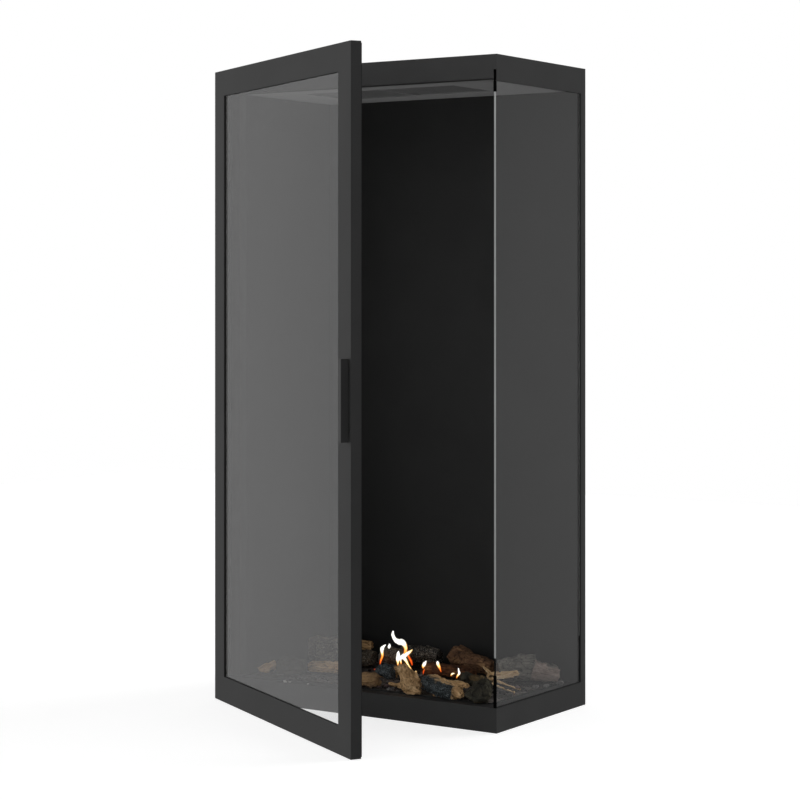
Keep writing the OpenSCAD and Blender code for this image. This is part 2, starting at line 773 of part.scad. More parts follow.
// The log castings, each made of limbs. A limb has two axis ends, a radius at each, how much
// each end tapers, a bend, a flat split face given by its direction round the axis and its depth,
// and a seed for its unevenness.
// The ends are measured from the left wall, from the front plane and up from the ember bed,
// in a chamber of the log set's own width and depth.
//   [start, end, r0, r1, taper0, taper1, bend, split_dir, split_depth, seed]
LOGS = [
    // 0: front left
    [[[242, 39, 6], [296, 39, 12], 17, 18.5, 0.8, 0.65, 2, 120, 0.86, 11]],
    // 1: front centre, with its tip and its leg
    [[[423, 49, 17], [478, 33, 11], 22, 22, 0.7, 0.85, -3, 105, 0.86, 23],
        [[468, 53, 21], [509, 37, 25], 11, 8, 0.85, 0.65, 2, 90, 0.8, 29],
        [[494, 25, 14], [506, 21, 9], 12, 10, 0.8, 0.8, 0, 150, 0.85, 31]],
    // 2: left bark
    [[[78, 57, 12], [100, 63, 12], 23, 22, 0.8, 0.8, 0, 200, 0.85, 37]],
    // 3: left centre
    [[[117, 107, 11], [190, 107, 14], 18, 18, 0.95, 0.9, 2, 100, 0.75, 41]],
    // 4: back left
    [[[226, 207, 31], [252, 215, 28], 22, 22, 0.75, 0.8, 3, 130, 0.93, 53]],
    // 5: back centre
    [[[242, 255, 26], [289, 261, 26], 22, 23, 0.75, 0.8, 3, 60, 0.9, 67]],
    // 6: back right, a block and its lower tail
    [[[347, 275, 31], [355, 273, 31], 24, 22, 0.8, 0.7, -3, 120, 0.92, 71],
        [[374, 267, 23], [429, 255, 20], 21, 19, 0.8, 0.8, 2, 60, 0.9, 73]],
    // 7: right end, thick behind and cut off square at its right
    [[[490, 229, 27], [511, 247, 30], 28, 28, 0.85, 0.85, 2, 60, 0.93, 83],
        [[522, 253, 25], [551, 277, 16], 25, 20, 0.9, 0.97, 0, 110, 0.88, 89]],
    // 8: middle
    [[[321, 203, 13], [419, 189, 14], 17, 17, 0.75, 0.75, 3, 90, 0.9, 97]],
    // 9: front fork: the main limb, its thin arm, its bark knot and its heel
    [[[342, 75, 35], [387, 35, 11], 13, 22, 0.75, 0.75, 3, 110, 0.86, 103],
        [[375, 29, 11], [336, 39, 10], 9, 4.5, 0.8, 0.6, 0, 90, 0.85, 107],
        [[298, 71, 28], [322, 63, 28], 17, 18.5, 0.65, 0.85, 2, 45, 0.92, 109],
        [[387, 27, 4], [410, 27, 2], 10.5, 9, 0.8, 0.7, 0, 90, 0.9, 199]],
    // 10: front right, with the dark lump behind it and its toe over the front rail
    [[[517, 77, 18], [542, 33, 16], 22, 25, 0.75, 0.75, 2, 125, 0.8, 113],
        [[473, 95, 28], [500, 88, 24], 14, 15, 0.7, 0.8, 0, 60, 0.85, 127],
        [[527, 25, 10], [553, 25, 7], 13, 14, 0.7, 0.75, 0, 110, 0.8, 211]],
    // 11: far left: a high log with its pale branch, and the short one before it
    [[[48, 209, 27], [85, 235, 27], 27, 27, 0.8, 0.85, 3, 200, 0.85, 131],
        [[85, 237, 38], [138, 253, 38], 14, 13, 0.9, 0.85, 0, 90, 0.85, 137],
        [[119, 215, 14], [168, 213, 19], 18, 19, 0.8, 0.8, 2, 140, 0.85, 139]],
    // 12: left split
    [[[32, 43, 7], [45, 57, 15], 13, 12, 0.85, 0.85, 0, 120, 0.8, 149]],
    // 13: right fork: its body, two thin arms and its foot
    [[[500, 145, 25], [528, 181, 28], 11, 10, 0.8, 0.8, 2, 90, 0.8, 151],
        [[504, 139, 28], [473, 157, 40], 6, 4, 0.9, 0.6, 0, 90, 0.85, 157],
        [[509, 131, 20], [489, 127, 23], 7, 5, 0.9, 0.7, 0, 90, 0.85, 163],
        [[504, 137, 22], [500, 129, 4], 8, 8, 0.9, 0.9, 0, 0, 1.3, 167]],
    // 14 and 15: two sticks
    [[[518, 119, 23], [548, 165, 0], 5, 4.5, 0.8, 0.8, 1, 90, 0.8, 173]],
    [[[526, 98, 20], [554, 133, 0], 5, 4.5, 0.8, 0.8, -1, 90, 0.8, 179]]];

// Where a point of the table lies: the set spreads with the chamber and rises with the bed.
function lay(p) = [lining_x + p[0] * (glass_x - lining_x) / log_set_w,
    y_front + p[1] * (lining_y - y_front) / log_set_d,
    bed_top + p[2]];

// The limbs of one casting, laid in the chamber.
function limbs(k) = [for (limb = LOGS[k])
    concat([lay(limb[0]), lay(limb[1])], [for (m = [2 : len(limb) - 1]) limb[m]])];

// A repeatable wave between -1 and 1.
function wave(a, seed) = sin(a + 97 * seed) * 0.6 + sin(2.3 * a + 31 * seed) * 0.4;

function unit(v) = v / norm(v);

// Radius of a limb's section at an angle, cut back where the split face is.
function limb_radius(limb, s, a, grow) =
    let (r = limb[2] + (limb[3] - limb[2]) * s,
        seed = limb[9],
        uneven = 0.09 * sin(2 * a + 57 * seed) + 0.07 * sin(3 * a + 140 * s + 13 * seed)
            + 0.06 * wave(limb_turns * s, seed),
        facing = cos(a - limb[7]),
        split = facing > 0.05 ? r * limb[8] / facing : 2 * r)
    min(r * (1 + uneven), split) + grow;

// How fast a limb's unevenness changes from one end to the other, in degrees.
limb_turns = 400;

// Stations along a limb: how far along, and how much the section has drawn in there.
function limb_stations(limb) = [[-0.42, limb[4]], [-0.2, (1 + limb[4]) / 2], [0, 1], [0.25, 1], [0.5, 1],
    [0.75, 1], [1, 1], [1.2, (1 + limb[5]) / 2], [1.42, limb[5]]];

// One limb as a closed skin, its ends a little uneven, grown outwards by an amount.
module limb_form(limb, grow) {
    along = limb[1] - limb[0];
    d = unit(along);
    u = unit(cross([0, 0, 1], d));
    v = cross(d, u);
    n = log_sides;
    stations = limb_stations(limb);
    last = len(stations) - 1;
    rings = [for (k = [0 : last])
        let (t = stations[k][0],
            s = max(0, min(1, t)),
            past = (t < 0 ? t * limb[2] : t > 1 ? (t - 1) * limb[3] : 0) * 2,
            stretch = k == 0 ? -grow : k == last ? grow : 0,
            middle = limb[0] + along * s + d * (past + stretch) + u * limb[6] * sin(180 * s),
            rough = k == 0 || k == last ? 0.12 * limb[3] : 0)
        [for (i = [0 : n - 1])
            let (a = 360 * i / n, r = limb_radius(limb, s, a, grow) * stations[k][1])
            middle + u * r * cos(a) + v * r * sin(a) + d * rough * wave(70 * i, limb[9] + k)]];
    cap = 2 * stations[last][0] - 2;
    points = concat([for (ring = rings) each ring],
        [limb[0] - d * (cap * limb[2] + grow), limb[1] + d * (cap * limb[3] + grow)]);
    skin = [for (k = [0 : last - 1], i = [0 : n - 1]) let (j = (i + 1) % n)
        each [[k * n + i, (k + 1) * n + i, (k + 1) * n + j], [k * n + i, (k + 1) * n + j, k * n + j]]];
    ends = [for (i = [0 : n - 1]) let (j = (i + 1) % n)
        each [[(last + 1) * n, i, j], [(last + 1) * n + 1, last * n + j, last * n + i]]];
    polyhedron(points, concat(skin, ends));
}

// Whether two limbs come close enough to touch.
function near(a, b) = norm(a[0] + a[1] - b[0] - b[1]) / 2 < reach(a) + reach(b);

// Radius of a ball round a limb's middle that holds the whole limb.
function reach(limb) = norm(limb[1] - limb[0]) / 2 + 1.3 * max(limb[2], limb[3]);

// A casting as it lies: flat where it rests on the bed and over the front rail, and hollowed
// where it seats on the castings laid before it.
module laid(k) {
    difference() {
        for (limb = limbs(k)) limb_form(limb, 0);
        if (k > 0) for (j = [0 : k - 1], other = limbs(j))
            if (len([for (limb = limbs(k)) if (near(limb, other)) 1]) > 0) limb_form(other, seat);
        block([x_left, y_front, 0], [x_right, y_back, sill_h + fit]);
        block([x_left, tray_y0 - 2 * fit, 0], [x_right, y_back, bed_top + fit]);
    }
}

module log_front_left() { color(split_wood) laid(0); }
module log_front_centre() { color(bark) laid(1); }
module log_left_bark() { color(bark) laid(2); }
module log_left_centre() { color(split_wood) laid(3); }
module log_back_left() { color(bark) laid(4); }
module log_back_centre() { color(bark) laid(5); }
module log_back_right() { color(bark) laid(6); }
module log_right_end() { color(split_wood) laid(7); }
module log_middle() { color(bark) laid(8); }
module log_front_fork() { color(split_wood) laid(9); }
module log_front_right() { color(bark) laid(10); }
module log_far_left() { color(bark) laid(11); }
module log_left_split() { color(split_wood) laid(12); }
module log_right_fork() { color(split_wood) laid(13); }
module log_sticks() {
    color(split_wood) {
        laid(14);
        laid(15);
    }
}

pivot_x = x_left + axis_x;
pivot_y = y_front - axis_y;
door_y = y_front - door_gap;
door_h = body_h - 2 * door_clear;
hinge_zs = [hinge_end, body_h - hinge_end];
end_knuckle = (hinge_len - 2 * knuckle_gap) * 0.32;
knuckle_r = knuckle_d / 2;
leaf_back = 4;
neck = 2.9;

// Swings its children, drawn for the closed door, to the open angle.
module swing() {
    translate([pivot_x, pivot_y, 0]) rotate([0, 0, -door_open]) translate([-pivot_x, -pivot_y, 0]) children();
}

// Door coordinates: X from the hinge edge, Y from the front face backwards, Z from the bottom edge.
module on_door() {
    swing() translate([x_left, door_y - door_t, door_clear]) children();
}

module casing_hinge_leaves() {
    color(steel) for (z = hinge_zs) translate([pivot_x, pivot_y, z - hinge_len / 2]) difference() {
        union() {
            for (z0 = [0, hinge_len - end_knuckle]) {
                translate([0, 0, z0]) cylinder(r = knuckle_r, h = end_knuckle, $fn = 48);
                block([-neck, knuckle_r - 2, z0], [neck, axis_y + leaf_t / 2, z0 + end_knuckle]);
            }
            block([-leaf_back, axis_y, 0], [casing_leaf, axis_y + leaf_t, hinge_len]);
        }
        translate([0, 0, -1]) cylinder(r = pin_d / 2 + pin_play, h = hinge_len + 2, $fn = 48);
    }
}

module hinge_pins() {
    color(steel) for (z = hinge_zs) translate([pivot_x, pivot_y, z - hinge_len / 2 - 1]) {
        cylinder(r = pin_d / 2, h = hinge_len + 1.1, $fn = 48);
        translate([0, 0, hinge_len + 1.05]) cylinder(r = pin_d / 2 + 1.5, h = 2, $fn = 48);
    }
}

module door_hinge_leaves() {
    leaf_y = axis_y - door_gap - leaf_t;
    color(steel) swing() for (z = hinge_zs)
        translate([pivot_x, pivot_y, z - hinge_len / 2 + end_knuckle + knuckle_gap]) difference() {
            h = hinge_len - 2 * end_knuckle - 2 * knuckle_gap;
            union() {
                cylinder(r = knuckle_r, h = h, $fn = 48);
                block([-1, leaf_y, 0], [door_leaf, axis_y - door_gap - 0.05, h]);
            }
            translate([0, 0, -1]) cylinder(r = pin_d / 2 + pin_play, h = h + 2, $fn = 48);
        }
}

// Space that the door frame leaves round each hinge, so that the knuckles and leaves clear it.
module hinge_notches() {
    for (z = hinge_zs) translate([axis_x, door_t + door_gap - axis_y, z - door_clear]) {
        x0 = -axis_x - 1;
        y1 = axis_y;
        h = hinge_len + 8;
        translate([0, 0, -h / 2]) {
            cylinder(r = knuckle_r + 0.4, h = h, $fn = 48);
            block([x0, 0, 0], [neck + 0.7, y1, h]);
            block([x0, -knuckle_r / 2 - 0.5, 0], [0, y1, h]);
            block([0, axis_y - door_gap - leaf_t - 0.1, 0], [door_leaf + fit, y1, h]);
        }
    }
}

// The frame's section cut out all round: lip opening, glass rebate, retainer ledge and hollow.
module door_ring() {
    w = door_w;
    h = door_h;
    x0 = hinge_stile;
    x1 = w - lock_stile;
    z0 = door_rail;
    z1 = h - door_rail;
    deep = lip_t + lip_seal + door_glass_t + fit;
    solid = rebate + ledge + door_wall;
    difference() {
        cube([w, door_t, h]);
        block([x0, -1, z0], [x1, door_t + 1, z1]);
        block([x0 - rebate, lip_t, z0 - rebate], [x1 + rebate, door_t + 1, z1 + rebate]);
        block([x0 - rebate - ledge, deep, z0 - rebate - ledge],
            [x1 + rebate + ledge, door_t + 1, z1 + rebate + ledge]);
        difference() {
            block([hinge_bar, door_wall, door_wall], [w - door_wall, door_t - door_wall, h - door_wall]);
            block([x0 - solid, 0, z0 - solid], [x1 + solid, door_t, z1 + solid]);
        }
        translate([0, door_t, -1]) linear_extrude(h + 2)
            polygon([[-1, 1], [-1, -hinge_chamfer - 1], [hinge_chamfer + 1, 1]]);
        hinge_notches();
        for (z = handle_zs) translate([handle_x, -1, z]) rotate([-90, 0, 0])
            cylinder(d = handle_screw_d + 0.5, h = door_t + 2, $fn = 32);
        for (p = retainer_spots) translate([p[0], deep + 1, p[1]]) rotate([90, 0, 0])
            cylinder(d = screw_d, h = 4.5, $fn = 24);
    }
}

handle_x = door_w - handle_edge - handle_w / 2;
handle_zs = [for (s = [-1, 1]) handle_mid - door_clear + s * handle_len * 0.36];
retainer_in = rebate + ledge / 2 - 0.6;
retainer_spots = [
    for (x = [hinge_stile - retainer_in, door_w - lock_stile + retainer_in], k = [0 : 3])
        [x, door_rail + (door_h - 2 * door_rail) * (0.06 + 0.88 * k / 3)],
    for (z = [door_rail - retainer_in, door_h - door_rail + retainer_in], k = [0 : 1])
        [hinge_stile + (door_w - hinge_stile - lock_stile) * (0.2 + 0.6 * k), z]];

// Cuts one member out of the frame along the mitres; corners are given in X and Z.
module member(corners) {
    color(paint) on_door() intersection() {
        door_ring();
        translate([0, door_t + 1, 0]) rotate([90, 0, 0]) linear_extrude(door_t + 2) polygon(corners);
    }
}

module door_top_rail() {
    member([[0, door_h], [hinge_stile, door_h - door_rail],
        [door_w - lock_stile, door_h - door_rail], [door_w, door_h]]);
}

module door_bottom_rail() {
    member([[0, 0], [door_w, 0], [door_w - lock_stile, door_rail], [hinge_stile, door_rail]]);
}

module door_hinge_stile() {
    member([[0, 0], [hinge_stile, door_rail], [hinge_stile, door_h - door_rail], [0, door_h]]);
}

module door_lock_stile() {
    member([[door_w, 0], [door_w, door_h], [door_w - lock_stile, door_h - door_rail],
        [door_w - lock_stile, door_rail]]);
}

// A flat ring in the door's plane, from an inner margin to an outer margin round the lip opening.
module lip_ring(inner, outer, y0, y1) {
    x0 = hinge_stile;
    x1 = door_w - lock_stile;
    difference() {
        block([x0 - outer, y0, door_rail - outer], [x1 + outer, y1, door_h - door_rail + outer]);
        block([x0 - inner, y0 - 1, door_rail - inner], [x1 + inner, y1 + 1, door_h - door_rail + inner]);
    }
}

glass_face = lip_t + lip_seal;

module door_glass() {
    edge = rebate - 1;
    color(glass_tint) on_door()
        block([hinge_stile - edge, glass_face, door_rail - edge],
            [door_w - lock_stile + edge, glass_face + door_glass_t, door_h - door_rail + edge]);
}

module door_glass_seal() {
    color(rubber) on_door() lip_ring(-seal_show, rebate - 0.3, lip_t + 0.05, glass_face - 0.05);
}

retainer_y = glass_face + door_glass_t + fit + 0.1;

module door_glass_retainers() {
    a = 0.5;
    b = rebate + ledge - 0.4;
    x0 = hinge_stile;
    x1 = door_w - lock_stile;
    color(steel) on_door() difference() {
        union() {
            for (z = [door_rail - b, door_h - door_rail + a])
                block([x0 - b, retainer_y, z], [x1 + b, retainer_y + retainer_t, z + b - a]);
            for (x = [x0 - b, x1 + a])
                block([x, retainer_y, door_rail - a + fit],
                    [x + b - a, retainer_y + retainer_t, door_h - door_rail + a - fit]);
        }
        for (p = retainer_spots) translate([p[0], retainer_y - 1, p[1]]) rotate([-90, 0, 0])
            cylinder(d = screw_d + fit, h = retainer_t + 2, $fn = 24);
    }
}

small_head_d = 6.6;

module door_screws() {
    color(steel) on_door() {
        for (p = retainer_spots) translate([p[0], retainer_y + retainer_t + 0.05, p[1]]) rotate([-90, 0, 0]) {
            cylinder(d1 = small_head_d, d2 = small_head_d - 0.6, h = head_h, $fn = 24);
            translate([0, 0, -5.5]) cylinder(d = screw_d - 2 * fit, h = 5.6, $fn = 24);
        }
        for (z = handle_zs) translate([handle_x, door_t + 0.05, z]) rotate([-90, 0, 0]) {
            cylinder(d1 = small_head_d, d2 = small_head_d - 0.6, h = head_h, $fn = 24);
            translate([0, 0, -door_t - screw_len])
                cylinder(d = handle_screw_d - fit, h = door_t + screw_len + 0.1, $fn = 24);
        }
    }
}

module door_gasket() {
    x0 = post_land - gasket_w - 1.5;
    x1 = door_w - 1;
    z0 = 3;
    z1 = door_h - 3;
    color(rubber) on_door() difference() {
        block([x0, door_t + 0.05, z0], [x1, door_t + gasket_t, z1]);
        block([x0 + gasket_w, door_t - 1, z0 + gasket_w], [x1 - gasket_w, door_t + 3, z1 - gasket_w]);
    }
}

module door_handle() {
    x0 = handle_x - handle_w / 2;
    z0 = handle_mid - door_clear - handle_len / 2;
    color([0.13, 0.13, 0.13]) on_door() difference() {
        union() {
            block([x0, -handle_out, z0], [x0 + handle_w, -handle_gap, z0 + handle_len]);
            for (z = handle_zs) translate([handle_x, -0.05, z]) rotate([90, 0, 0])
                cylinder(d = 8, h = handle_gap + 1, $fn = 32);
        }
        for (z = handle_zs) translate([handle_x, 1, z]) rotate([90, 0, 0])
            cylinder(d = handle_screw_d, h = 10, $fn = 32);
    }
}

magnet_d = 16;

module catch_magnets() {
    z = door_rail - rebate - ledge;
    color(steel) on_door() for (zz = [z - magnet_d / 2 - 5, door_h - z + magnet_d / 2 + 5])
        translate([door_w - 40, door_t + 0.05, zz]) rotate([-90, 0, 0])
            cylinder(d = magnet_d, h = gasket_t - 0.1, $fn = 48);
}

base_pan();
front_sill();
side_sill();
front_header();
side_header();
front_left_post();
rear_corner_post();
left_side_panel();
rear_panel();
top_cover();
back_liner();
left_liner();
ceiling_plate();
ceiling_grille_left();
ceiling_grille_right();
exhaust_plenum();
flue_inner_spigot();
flue_outer_spigot();
side_glass();
side_glass_seals();
side_glass_clip();
glass_setting_blocks();
hearth_plate();
burner_tray();
burner_tube();
gas_pipe();
gas_inlet();
ignition_electrodes();
ember_bed();
log_front_left();
log_front_fork();
log_front_centre();
log_front_right();
log_right_fork();
log_sticks();
log_back_right();
log_right_end();
log_back_centre();
log_middle();
log_back_left();
log_far_left();
log_left_split();
log_left_bark();
log_left_centre();
casing_hinge_leaves();
hinge_pins();
casing_screws();
door_top_rail();
door_bottom_rail();
door_hinge_stile();
door_lock_stile();
door_glass();
door_glass_seal();
door_glass_retainers();
door_screws();
door_gasket();
door_handle();
door_hinge_leaves();
catch_magnets();
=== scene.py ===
# %% [markdown]
# # Corner gas fireplace
# A tall slim casing in black powder-coated steel, with ceramic glass on its front and right side, a
# full-height door that stands open, and a fired ceramic log set on a bed of embers.
# The construction comes as a fixed frame of named nodes, and this script gives it its finishes.
# Every length below is in metres unless its name or comment says millimetres.

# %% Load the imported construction
import json
import math
import random

import bmesh
import bpy
import numpy as np
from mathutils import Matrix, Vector, noise
from mathutils.bvhtree import BVHTree


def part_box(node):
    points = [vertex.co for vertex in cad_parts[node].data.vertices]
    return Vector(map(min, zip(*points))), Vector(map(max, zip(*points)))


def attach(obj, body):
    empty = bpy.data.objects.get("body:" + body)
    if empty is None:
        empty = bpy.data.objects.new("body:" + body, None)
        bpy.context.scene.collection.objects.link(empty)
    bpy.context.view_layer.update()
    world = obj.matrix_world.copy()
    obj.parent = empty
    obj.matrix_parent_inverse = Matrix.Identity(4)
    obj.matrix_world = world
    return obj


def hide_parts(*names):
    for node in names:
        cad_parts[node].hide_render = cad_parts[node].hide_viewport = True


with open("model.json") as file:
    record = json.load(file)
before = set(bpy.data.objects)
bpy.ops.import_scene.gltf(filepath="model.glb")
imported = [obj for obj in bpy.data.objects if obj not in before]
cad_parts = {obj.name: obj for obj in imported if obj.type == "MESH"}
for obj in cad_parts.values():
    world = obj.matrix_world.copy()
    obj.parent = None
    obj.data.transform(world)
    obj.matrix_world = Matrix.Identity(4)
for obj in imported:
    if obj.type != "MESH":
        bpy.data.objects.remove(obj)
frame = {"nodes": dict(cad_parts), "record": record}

MM = 0.001
# Blender seeds its vector noise from the clock. A fixed seed keeps the bark the same.
BARK_SEED = 3
noise.seed_set(BARK_SEED)
scene = bpy.context.scene
nodes = frame["nodes"]


def placed(name, data):
    """A new object of the scene."""
    made = bpy.data.objects.new(name, data)
    scene.collection.objects.link(made)
    return made


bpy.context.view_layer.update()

# %% [markdown]
# ## The camera
# The photograph has two vanishing points. They put the camera level, 0.82 m above the floor, with a
# long lens, and turn the casing 33.6 degrees. The lens and the shift below are that camera's own
# numbers, so the render can be laid over the photograph.

# %% Set up the camera
FRAME_PX = 800
FOCAL_PX = 2186.3
HORIZON_PX = 287.4
CAMERA_PLACE = (2.3959, -3.6144, 0.8203)
CAMERA_TURN = math.radians(33.6)
SENSOR_MM = 36

camera_data = bpy.data.cameras.new("camera")
camera_data.sensor_width = SENSOR_MM
camera_data.lens = FOCAL_PX / FRAME_PX * SENSOR_MM
camera_data.shift_y = (HORIZON_PX - FRAME_PX / 2) / FRAME_PX
camera = placed("camera", camera_data)
camera.location = CAMERA_PLACE
camera.rotation_euler = (math.radians(90), 0, CAMERA_TURN)
scene.camera = camera
scene.view_settings.view_transform = "Standard"
print("lens", round(camera_data.lens, 1), "mm, shift", round(camera_data.shift_y, 4))

# %% [markdown]
# ## Helpers for every finish
# Colours are written as sRGB hex values, the way a paint chart gives them, and turned to linear light
# once. A node is added with its settings and its inputs in one call: an input takes a plain value or
# another node's output. Patterns are given by the real size of their features in millimetres.

# %% Colour and node helpers
def linear(hex_colour):
    """An sRGB hex colour as linear red, green, blue and alpha."""
    channels = [int(hex_colour[i:i + 2], 16) / 255 for i in (1, 3, 5)]
    return [c / 12.92 if c <= 0.04045 else ((c + 0.055) / 1.055) ** 2.4 for c in channels] + [1.0]


def add(tree, kind, inputs=(), **settings):
    """Adds one node: settings by property name, inputs by socket name or number."""
    node = tree.nodes.new(kind)
    for name, value in settings.items():
        setattr(node, name, value)
    for name, value in dict(inputs).items():
        socket = node.inputs[name]
        if isinstance(value, bpy.types.NodeSocket):
            tree.links.new(value, socket)
        else:
            socket.default_value = value
    return node


def new_finish(name):
    """An empty material and its node tree."""
    finish = bpy.data.materials.new(name)
    finish.use_nodes = True
    finish.node_tree.nodes.clear()
    return finish, finish.node_tree


def on_piece(tree):
    """Places in the piece's own frame, so that a pattern stays put when the piece moves."""
    return add(tree, "ShaderNodeTexCoord").outputs["Object"]


def surface(tree, shader):
    """Ends a material with the shader that it shows."""
    add(tree, "ShaderNodeOutputMaterial", {"Surface": shader.outputs[0]})


def coat_with(tree, inputs):
    """Ends a material with one main shader and its inputs."""
    surface(tree, add(tree, "ShaderNodeBsdfPrincipled", inputs))


def ramp(tree, factor, stops):
    """A colour ramp from (place, hex colour) stops."""
    node = add(tree, "ShaderNodeValToRGB", {"Fac": factor})
    elements = node.color_ramp.elements
    for element, (place, colour) in ((elements[1], stops[-1]), (elements[0], stops[0])):
        element.position = place
        element.color = linear(colour)
    for place, colour in stops[1:-1]:
        elements.new(place).color = linear(colour)
    return node.outputs["Color"]


print("soft black", [round(c, 3) for c in linear("#3F3F3F")])

# %% Sums and patterns, by their real size
def maths(tree, operation, *values):
    """One sum over plain values and other nodes' outputs."""
    return add(tree, "ShaderNodeMath", dict(enumerate(values)), operation=operation).outputs[0]


def noise_at(tree, place, size_mm, detail=2.0, **inputs):
    """Soft noise from 0 to 1, its features about size_mm wide."""
    inputs |= {"Vector": place, "Scale": 1 / (size_mm * MM), "Detail": detail}
    return add(tree, "ShaderNodeTexNoise", inputs).outputs["Fac"]


def grains_at(tree, place, size_mm):
    """Grains about size_mm wide: 0 in the middle of each, more towards its edge."""
    grains = add(tree, "ShaderNodeTexVoronoi", {"Vector": place, "Scale": 1 / (size_mm * MM)})
    return grains.outputs["Distance"]


def spread(tree, value, low, high, start=0.0, end=1.0):
    """A value that runs from start to end, spread to run from low to high."""
    return add(tree, "ShaderNodeMapRange", {"Value": value, "From Min": start, "From Max": end,
                                            "To Min": low, "To Max": high}).outputs["Result"]


def stored(tree, name, kind="Fac"):
    """A number or a place that the shape stores on its points."""
    return add(tree, "ShaderNodeAttribute", attribute_name=name).outputs[kind]


def dimples(tree, height, strength, deep_mm):
    """A fine relief that is too small to model."""
    return add(tree, "ShaderNodeBump", {"Height": height, "Strength": strength,
                                        "Distance": deep_mm * MM}).outputs["Normal"]


print("a pattern with 4 mm features has the scale", 1 / (4 * MM))

# %% [markdown]
# ## Light and room
# The object stands in a plain pale studio. The studio is brightest on the left, which is what the door
# glass mirrors, dimmer behind on the right, which is what the side glass mirrors, and dimmest before
# the right front corner, because the photograph's door edge faces that way and is the darkest face.
# The camera, and rays that have only passed through glass, see it as plain white. Four soft
# lamps stand round it: before the front, low before it, on the right, and behind on the right. Three
# more stand for the fire's own light: they shine up from the bed, since the photograph's ceiling is its
# brightest steel.

# %% Studio world
STUDIO_BRIGHT_SIDE = (-0.94, 0.33, 0.11)
STUDIO_DIM = 0.115
STUDIO_BRIGHT = 0.53

world = bpy.data.worlds.new("pale_studio")
scene.world = world
world.use_nodes = True
tree = world.node_tree
tree.nodes.clear()
towards = add(tree, "ShaderNodeTexCoord")
side = add(tree, "ShaderNodeVectorMath", {0: towards.outputs["Generated"], 1: STUDIO_BRIGHT_SIDE},
           operation="DOT_PRODUCT")
level = spread(tree, side.outputs["Value"], STUDIO_DIM, STUDIO_BRIGHT, -1, 1)
path = add(tree, "ShaderNodeLightPath")
bounces = maths(tree, "ADD", path.outputs["Diffuse Depth"], path.outputs["Glossy Depth"])
straight = maths(tree, "LESS_THAN", bounces, 0.5)
through = maths(tree, "MULTIPLY", path.outputs["Is Transmission Ray"], straight)
seen = maths(tree, "MAXIMUM", path.outputs["Is Camera Ray"], through)
room = add(tree, "ShaderNodeBackground", {"Color": linear("#FFFFFF"), "Strength": level})
white = add(tree, "ShaderNodeBackground", {"Color": linear("#FFFFFF"), "Strength": 1.0})
both = add(tree, "ShaderNodeMixShader", {0: seen, 1: room.outputs[0], 2: white.outputs[0]})
add(tree, "ShaderNodeOutputWorld", {"Surface": both.outputs[0]})
print("studio level from", STUDIO_DIM, "to", STUDIO_BRIGHT)

# %% Soft lamps
# Each lamp: the way towards it, its level, and how wide it stands in degrees.
SOFT_LAMPS = {
    "front_lamp": ((-0.60, -0.78, 0.16), 0.36, 60),
    "low_lamp": ((0.20, -0.98, 0.04), 0.14, 60),
    "right_lamp": ((0.80, -0.58, 0.12), 0.11, 60),
    "rear_lamp": ((0.55, 0.78, 0.32), 0.65, 40),
}
# The fire's lamps: places as shares of the bed's width, height over it, watts, cone and size.
FIRE_SHARES = (0.06, 0.32, 0.58)
FIRE_ABOVE = 0.15
FIRE_WATTS = 2.8
FIRE_CONE = math.radians(56)
FIRE_SIZE = 0.06


def hang(name, data):
    """A lamp that only lights: no mirror face and no pane shows it."""
    lamp = placed(name, data)
    lamp.visible_glossy = False
    lamp.visible_transmission = False
    return lamp


def soft_lamp(name, towards_lamp, level, width):
    """A far soft lamp: level 1 lights a surface that faces it to about its own colour."""
    data = bpy.data.lights.new(name, "SUN")
    data.energy = level * math.pi
    data.angle = math.radians(width)
    hang(name, data).rotation_euler = Vector(towards_lamp).to_track_quat("Z", "Y").to_euler()


def fire_lamp(name, place):
    """A cone of light that shines straight up and fades towards its edge."""
    data = bpy.data.lights.new(name, "SPOT")
    data.energy = FIRE_WATTS
    data.spot_size = FIRE_CONE
    data.spot_blend = 1.0
    data.shadow_soft_size = FIRE_SIZE
    lamp = hang(name, data)
    lamp.location = place
    lamp.rotation_euler = (math.pi, 0, 0)


for name, (towards_lamp, level, width) in SOFT_LAMPS.items():
    soft_lamp(name, towards_lamp, level, width)
bed_low, bed_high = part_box("ember_bed")
for k, share in enumerate(FIRE_SHARES):
    fire_lamp(f"fire_lamp_{k}", (bed_low.x + (bed_high.x - bed_low.x) * share, (bed_low.y + bed_high.y) / 2,
                                 bed_high.z + FIRE_ABOVE))
print("four room lamps and the fire's own light")

# %% [markdown]
# ## The floor
# A plain pale floor that keeps the object's shadow. The camera sees it lifted to white by a little
# light of its own, which reaches nothing else. The photograph's glass mirrors no floor line, so a ray
# that a surface has mirrored passes through the floor and meets the studio's even light instead.

# %% Pale floor
FLOOR_HALF = 4.0
FLOOR_BELOW = 0.5 * MM
FLOOR_LIFT = 0.78

mesh = bpy.data.meshes.new("floor")
corners = [(x * FLOOR_HALF, y * FLOOR_HALF, -FLOOR_BELOW) for x, y in ((-1, -1), (1, -1), (1, 1), (-1, 1))]
mesh.from_pydata(corners, [], [(0, 1, 2, 3)])
floor = placed("floor", mesh)
pale, tree = new_finish("pale_matt_floor")
path = add(tree, "ShaderNodeLightPath")
seen = maths(tree, "MAXIMUM", path.outputs["Is Camera Ray"], path.outputs["Is Transmission Ray"])
mirrored = maths(tree, "GREATER_THAN", path.outputs["Glossy Depth"], 0.5)
lift = maths(tree, "MULTIPLY", seen, FLOOR_LIFT)
matt = add(tree, "ShaderNodeBsdfDiffuse", {"Color": linear("#B4B4B4")})
glow = add(tree, "ShaderNodeEmission", {"Color": linear("#FFFFFF"), "Strength": lift})
lit = add(tree, "ShaderNodeAddShader", {0: matt.outputs[0], 1: glow.outputs[0]})
absent = add(tree, "ShaderNodeBsdfTransparent", {"Color": linear("#FFFFFF")})
